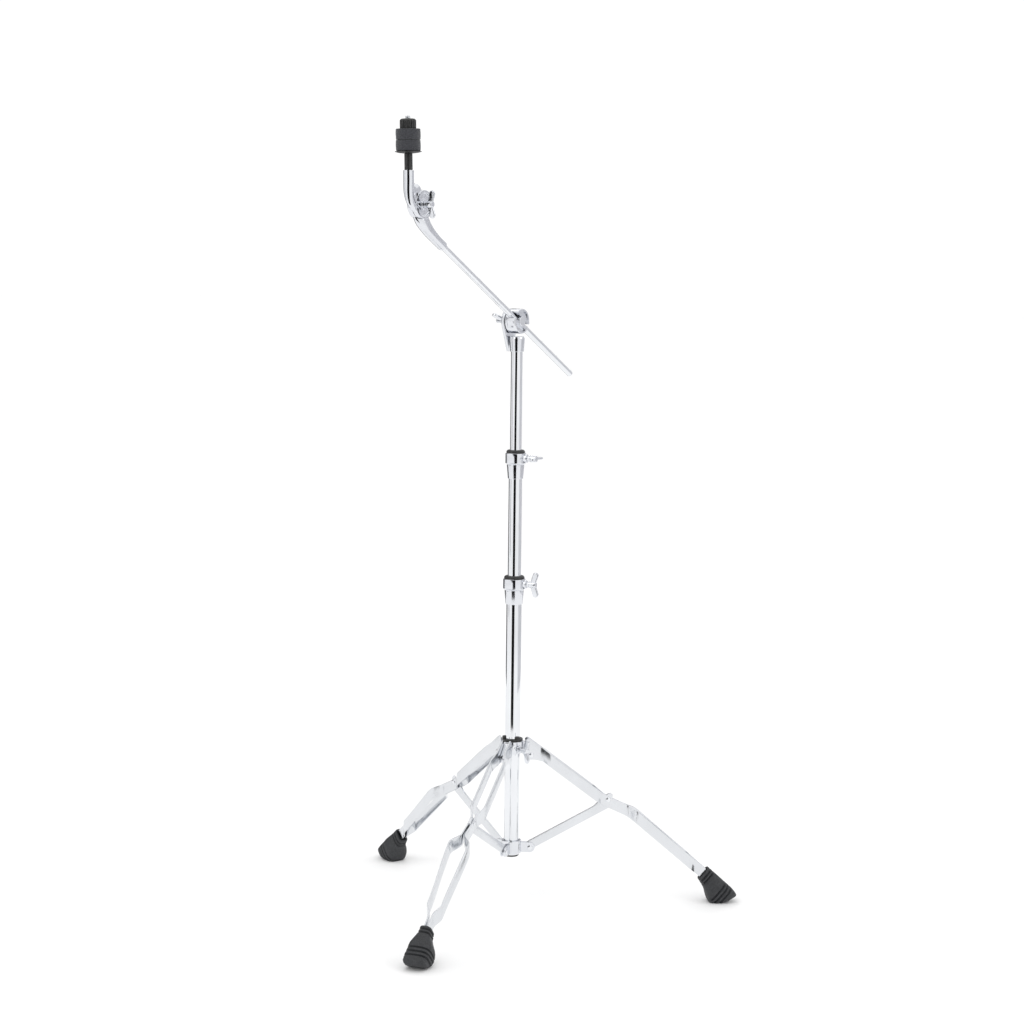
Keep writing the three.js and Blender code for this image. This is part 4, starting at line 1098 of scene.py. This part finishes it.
def discShell():
    near, far = jointSize["split"], jointSize["split"] + jointSize["plate"]
    disc, recess = jointSize["disc"], jointSize["recess"]
    profile = [(0, near), (disc, near), (disc, far), (disc - jointSize["rim"], far),
               (disc - jointSize["rim"] - 1.2, far - recess), (jointSize["boss"], far - recess),
               (jointSize["boss"] - 1, far), (0, far)]
    return moveShell(latheShell(softened(profile, 0.9, 5), 96), alongY)


def pinShell(reach, x, z):
    profile = softened([(0, -reach), (pinRadius, -reach), (pinRadius, reach), (0, reach)], 0.4, 3)
    return moveShell(latheShell(profile, 24), Matrix.Translation((x, 0, z)) @ alongY)


def buildLowerCasting():
    jx, jz = tilterInBoom.x, tilterInBoom.z
    end, radius = socket["end"], socket["radius"]
    body = castShell([
        (end, 0, 0, radius - 0.2, radius - 0.2), (end - 22, 0, 0, radius, radius),
        (end - 46, 0.5, 2.5, 10, 8.8),
        (end - 64, 2.5, 9.5, 13.5, 8.8), (end - 76, 4.6, 19, 15.5, 4.8), (end - 80, 4.8, 27, 13, 4)])
    at = Matrix.Translation((jx, 0, jz))
    clearance = jointSize["disc"] + jointSize["slit"]
    clear = moveShell(latheShell([(0, -40), (clearance, -40), (clearance, jointSize["split"]),
                                  (0, jointSize["split"])], 96), at @ alongY)
    head = min((boomPlace.inverted() @ v.co).x for v in frame["nodes"]["boom_arm"].data.vertices) - gap
    bore = moveShell(latheShell([(0, head), (arm["radius"] + gap, head), (arm["radius"] + gap, end + 10),
                                 (0, end + 10)], 64), alongX)
    disc = moveShell(discShell(), at)
    addCarved("tilterLowerCasting", [body], [clear, bore], boomPlace, "arm", "chrome_cast",
              ["tilter_lower_casting"], [disc])
    addPiece("socketPin", [pinShell(radius - 0.2, socket["pin"], 0)], boomPlace, "arm", "chrome_tube",
             ["socket_roll_pin"])
    low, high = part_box("cymbal_tilter_nut")
    depth = (high.y - low.y) / 2 / mm
    centre = boomPlace.inverted() @ ((low + high) / 2)
    hexagon = [(7.2 * math.cos(math.pi * k / 3), 7.2 * math.sin(math.pi * k / 3)) for k in range(6)]
    shape = softened(hexagon, 0.8, 3, True)
    rings = [[(x * f, y, z * f) for x, z in shape] for y, f in
             ((-depth, 0.93), (-depth + 0.6, 1), (depth - 0.6, 1), (depth, 0.93))]
    addPiece("tilterNut", [moveShell(loftShell(rings), Matrix.Translation(centre))], boomPlace, "arm",
             "chrome_tube", ["cymbal_tilter_nut"])


def buildUpperCasting():
    top, radius = stem["top"], stem["radius"]
    spine = castShell([
        (rodOffset, 0, top, radius, radius), (rodOffset - 0.2, 0, top - 17, radius, radius),
        (rodOffset - 0.4, -0.3, top - 33, 8.2, 7.8), (rodOffset + 1.5, -2.2, 6, 8.4, 6.4),
        (rodOffset + 8.5, -4.4, -4, 7.6, 4.6), (rodOffset + 17, -5, -11, 6, 3.4)])
    # The web that spreads from the stem to the top of the disc.
    web = castShell([
        (rodOffset + 0.5, -1.0, 37, 7.0, 4.4), (rodOffset + 1.4, -1.4, 31, 8.8, 4.8),
        (rodOffset + 3.0, -2.2, 26.5, 10.6, 4.8),
        (rodOffset + 5.8, -3.0, 22.5, 13.2, 4.7), (rodOffset + 9.0, -3.8, 18.5, 15.8, 4.5),
        (rodOffset + 11, -4.5, 12, 16.2, 4.2), (rodOffset + 13.5, -4.7, 4, 14.0, 4.0),
        (rodOffset + 17.5, -4.8, -4, 10.4, 3.9), (rodOffset + 21.5, -4.8, -10, 6, 3.6)])
    clearance = jointSize["disc"] + jointSize["slit"]
    clear = moveShell(latheShell([(0, -jointSize["split"]), (clearance, -jointSize["split"]), (clearance, 40),
                                  (0, 40)], 96), alongY)
    disc = moveShell(discShell(), Matrix.Rotation(math.pi, 4, "Z"))
    addCarved("tilterUpperCasting", [spine, web], [clear], tilterPlace, "cymbal_tilter", "chrome_cast",
              ["tilter_upper_casting"], [disc])
    addPiece("stemPin", [pinShell(radius - 0.2, rodOffset, top - 11)], tilterPlace,
             "cymbal_tilter", "chrome_tube",
             ["stem_roll_pin"])
    head = jointSize["split"] + jointSize["plate"] + gap + tilterWings["neck"]
    wingBolt("cymbalWingBolt", "cymbal_wing_bolt", "tilter_bolt", "tilter_bolt_turn", tilterWings, -9.6, head)
    print("cymbal tilter ready")


seat = {"rod": 4.0, "rodTop": 134.4, "sleeve": 6.3, "neck": 5.4, "shoulder": 77.0, "sleeveTop": 113.0,
        "washer": 20.6, "washerRise": 3.3, "felt": 19.4, "feltHeight": 16.7, "cap": 12.6, "capHeight": 15.0,
        "flutes": 20, "flute": 0.9}


def feltShell(low, hole, seed):
    outer, high = seat["felt"], low + seat["feltHeight"]
    corner = 1.3
    profile = [(hole, low), (outer - corner, low)]
    profile += [(outer - corner + corner * math.sin(math.pi / 2 * k / 8),
                 low + corner * (1 - math.cos(math.pi / 2 * k / 8)))
                for k in range(1, 9)]
    rows = 22
    for k in range(1, rows):
        profile.append((outer, low + corner + (seat["feltHeight"] - 2 * corner) * k / rows))
    profile += [(outer - corner + corner * math.cos(math.pi / 2 * k / 8),
                 high - corner + corner * math.sin(math.pi / 2 * k / 8))
                for k in range(0, 9)]
    profile += [(outer - corner - (outer - corner - hole) * k / 10, high) for k in range(1, 11)]

    def fuzz(radius, height, angle):
        where = Vector((radius * math.cos(angle), radius * math.sin(angle), height + seed))
        fine = noise.noise(where * 1.3)
        broad = noise.noise(where * 0.22)
        depth = 0.28 * fine + 0.30 * broad
        bulge = 0.35 * math.sin(math.pi * (height - low) / seat["feltHeight"])
        lean = 0.5 * ((height - low) / seat["feltHeight"] - 0.5)
        return radius - 0.75 + depth + bulge + lean * math.cos(angle - 1.1) if radius > hole + 1 else radius
    return latheShell(profile, 220, fuzz)


def capShell(low):
    high = low + seat["capHeight"]
    radius = seat["cap"]
    outline = softened([(0, low), (radius, low), (radius, high - 2.6), (radius - 2.2, high - 0.4),
                        (radius * 0.55, high), (0, high)], 1.0, 5)
    fine = []
    for a, b in zip(outline, outline[1:]):
        count = max(1, int((Vector(b) - Vector(a)).length / 0.7))
        fine += [tuple(Vector(a).lerp(Vector(b), k / count)) for k in range(count)]
    fine.append(outline[-1])

    def flute(r, height, angle):
        share = smooth(r, radius * 0.62, radius * 0.95)
        return r - seat["flute"] * share * (0.5 - 0.5 * math.cos(seat["flutes"] * angle)) ** 2
    return latheShell(fine, 240, flute)


def buildCymbalSeat():
    top = stem["top"]
    hole = seat["neck"] + gap
    rodBase = top - stem["bore"]
    shank = softened([(0, rodBase), (seat["rod"], rodBase), (seat["rod"], 112), (0, 112)], 0.5, 3)
    end = softened([(0, seat["rodTop"] - 1), (seat["rod"] - 0.5, seat["rodTop"] - 1),
                    (seat["rod"] - 0.5, seat["rodTop"] - 0.4), (seat["rod"] - 1.2, seat["rodTop"]),
                    (0, seat["rodTop"])],
                   0.3, 3)
    shells = [latheShell(shank, 48), threadShell(seat["rod"], 111, seat["rodTop"] - 0.6), latheShell(end, 48)]
    addPiece("cymbalRod", shells, rodPlace, "cymbal_tilter", "chrome_tube", ["cymbal_rod"])

    bore = seat["rod"] + gap
    sleeve = [(bore, top + gap), (seat["sleeve"], top + gap), (seat["sleeve"], seat["shoulder"]),
              (seat["neck"], seat["shoulder"]), (seat["neck"], seat["sleeveTop"]), (bore, seat["sleeveTop"])]
    addPiece("cymbalSleeve", [latheShell(softened(sleeve, 0.5, 4, True), 64)], rodPlace, "cymbal_tilter",
             "black_plastic", ["cymbal_sleeve"])

    base = seat["shoulder"] + gap
    rise = seat["washerRise"]
    cup = [(hole, base), (seat["washer"] * 0.42, base), (seat["washer"] * 0.78, base + 0.9),
           (seat["washer"], base + rise - 0.9), (seat["washer"], base + rise), (hole, base + rise)]
    addPiece("cupWasher", [latheShell(softened(cup, 0.8, 5, True), 96)], rodPlace,
             "cymbal_tilter", "black_plastic",
             ["cup_washer"])

    feltLow = base + rise + gap
    for name, node, body, index in (("lowerFelt", "lower_felt", "lower_felt_ring", 0),
                                    ("upperFelt", "upper_felt", "upper_felt_ring", 1)):
        low = feltLow + index * (seat["feltHeight"] + gap)
        felt = addPiece(name, [feltShell(low, hole + 0.1, 40 * index)], rodPlace, body, "grey_felt",
                        [node], 80)
    capLow = feltLow + 2 * (seat["feltHeight"] + gap)
    bore = latheShell([(0, capLow - 9), (seat["rod"] + gap, capLow - 9), (seat["rod"] + gap, capLow + 40),
                       (0, capLow + 40)], 48)
    addCarved("cymbalCap", [capShell(capLow)], [bore], rodPlace, "cap_knob", "black_plastic", ["cymbal_cap"])
    print("cymbal seat ready")


studio = {"floor": 40.0, "world": 1.06, "cardSteps": 24, "aim": 0.6}
cards = [
    {"from": 185, "to": 225, "radius": 1.3, "low": 0.02, "high": 2.3, "tone": "blackCard"},
    {"from": 38, "to": 100, "radius": 2.0, "low": 0.05, "high": 2.4, "tone": "darkCard"},
    {"from": 284, "to": 398, "radius": 2.0, "low": 0.05, "high": 1.9, "tone": "greyCard"},
    {"from": 126, "to": 140, "radius": 2.2, "low": 0.4, "high": 2.4, "tone": "midCard"}]
lamps = [
    ("keyLight", (-2.4, -0.2, 3.4), 14, 1.6), ("fillLight", (1.2, -3.2, 2.6), 8, 1.6),
    ("backLight", (2.2, 2.2, 3.2), 8, 1.8)]
cameraSet = {"distance": 3.664, "azimuth": -144.4, "turn": 0.08, "height": 1.094, "pitch": 6.57, "roll": 0.64,
             "lens": 78.1, "sensor": 36}


def buildStudio():
    bpy.context.scene.view_settings.view_transform = "Standard"
    world = bpy.data.worlds.new("studio")
    bpy.context.scene.world = world
    world.use_nodes = True
    background = world.node_tree.nodes["Background"]
    background.inputs["Color"].default_value = (1, 1, 1, 1)
    background.inputs["Strength"].default_value = studio["world"]

    mesh = bpy.data.meshes.new("floor")
    half = studio["floor"]
    mesh.from_pydata([(-half, -half, 0), (half, -half, 0), (half, half, 0), (-half, half, 0)], [],
                     [(0, 1, 2, 3)])
    floor = bpy.data.objects.new("floor", mesh)
    bpy.context.scene.collection.objects.link(floor)
    material, nodes, links, shader = newMaterial("paleFloor")
    grain = noiseNode(nodes, links, 3, 2)
    colour = rampNode(nodes, links, grain.outputs["Fac"], [(0.3, [0.945] * 3), (0.7, [0.965] * 3)])
    links.new(colour.outputs["Color"], shader.inputs["Base Color"])
    shader.inputs["Roughness"].default_value = 0.7
    mesh.materials.append(material)

    # Curved dark and grey cards that only the plated surfaces see, as in a product studio.
    tones = {"blackCard": 0.010, "darkCard": 0.16, "midCard": 0.42, "greyCard": 0.60}
    paints = {}
    for label, tone in tones.items():
        made = newMaterial(label)
        paint = made[0]
        paintShader = made[3]
        paintShader.inputs["Base Color"].default_value = (tone, tone, tone * 1.04, 1)
        paintShader.inputs["Roughness"].default_value = 1.0
        paintShader.inputs["Specular IOR Level"].default_value = 0.0
        paints[label] = paint
    steps = studio["cardSteps"]
    for index, card in enumerate(cards):
        rows = []
        for step in range(steps + 1):
            angle = math.radians(card["from"] + (card["to"] - card["from"]) * step / steps)
            x = columnX + card["radius"] * math.cos(angle)
            y = columnY + card["radius"] * math.sin(angle)
            rows.append(((x, y, card["low"]), (x, y, card["high"])))
        mesh = bpy.data.meshes.new("card")
        points = [point for row in rows for point in row]
        mesh.from_pydata(points, [], [(2 * k, 2 * k + 2, 2 * k + 3, 2 * k + 1) for k in range(steps)])
        mesh.materials.append(paints[card["tone"]])
        obj = bpy.data.objects.new(f"card{index}", mesh)
        bpy.context.scene.collection.objects.link(obj)
        obj.visible_camera = False
        obj.visible_shadow = False
        obj.visible_diffuse = False
        obj.visible_transmission = False

    target = Vector((columnX, columnY, studio["aim"]))
    for name, place, energy, size in lamps:
        light = bpy.data.lights.new(name, "AREA")
        light.energy = energy
        light.size = size
        lamp = bpy.data.objects.new(name, light)
        lamp.location = place
        lamp.rotation_mode = "QUATERNION"
        lamp.rotation_quaternion = (target - Vector(place)).to_track_quat("-Z", "Y")
        bpy.context.scene.collection.objects.link(lamp)
    print("studio ready")


def buildCamera():
    angle = math.radians(cameraSet["azimuth"])
    spot = Vector((columnX + cameraSet["distance"] * math.cos(angle),
                   columnY + cameraSet["distance"] * math.sin(angle), cameraSet["height"]))
    pitch = math.radians(cameraSet["pitch"])
    heading = angle + math.pi + math.radians(cameraSet["turn"])
    forward = Vector((math.cos(pitch) * math.cos(heading), math.cos(pitch) * math.sin(heading),
                      -math.sin(pitch)))
    data = bpy.data.cameras.new("camera")
    data.lens = cameraSet["lens"]
    data.sensor_width = cameraSet["sensor"]
    camera = bpy.data.objects.new("camera", data)
    camera.location = spot
    camera.rotation_mode = "QUATERNION"
    roll = Quaternion((0, 0, 1), math.radians(cameraSet["roll"]))
    camera.rotation_quaternion = forward.to_track_quat("-Z", "Y") @ roll
    bpy.context.scene.collection.objects.link(camera)
    bpy.context.scene.camera = camera


buildCamera()
buildColumn()
buildLegs()
buildHub()
buildBracket()
buildRivets()
buildTilterBase()
buildHolder()
buildArm()
buildLowerCasting()
buildUpperCasting()
buildCymbalSeat()
buildStudio()
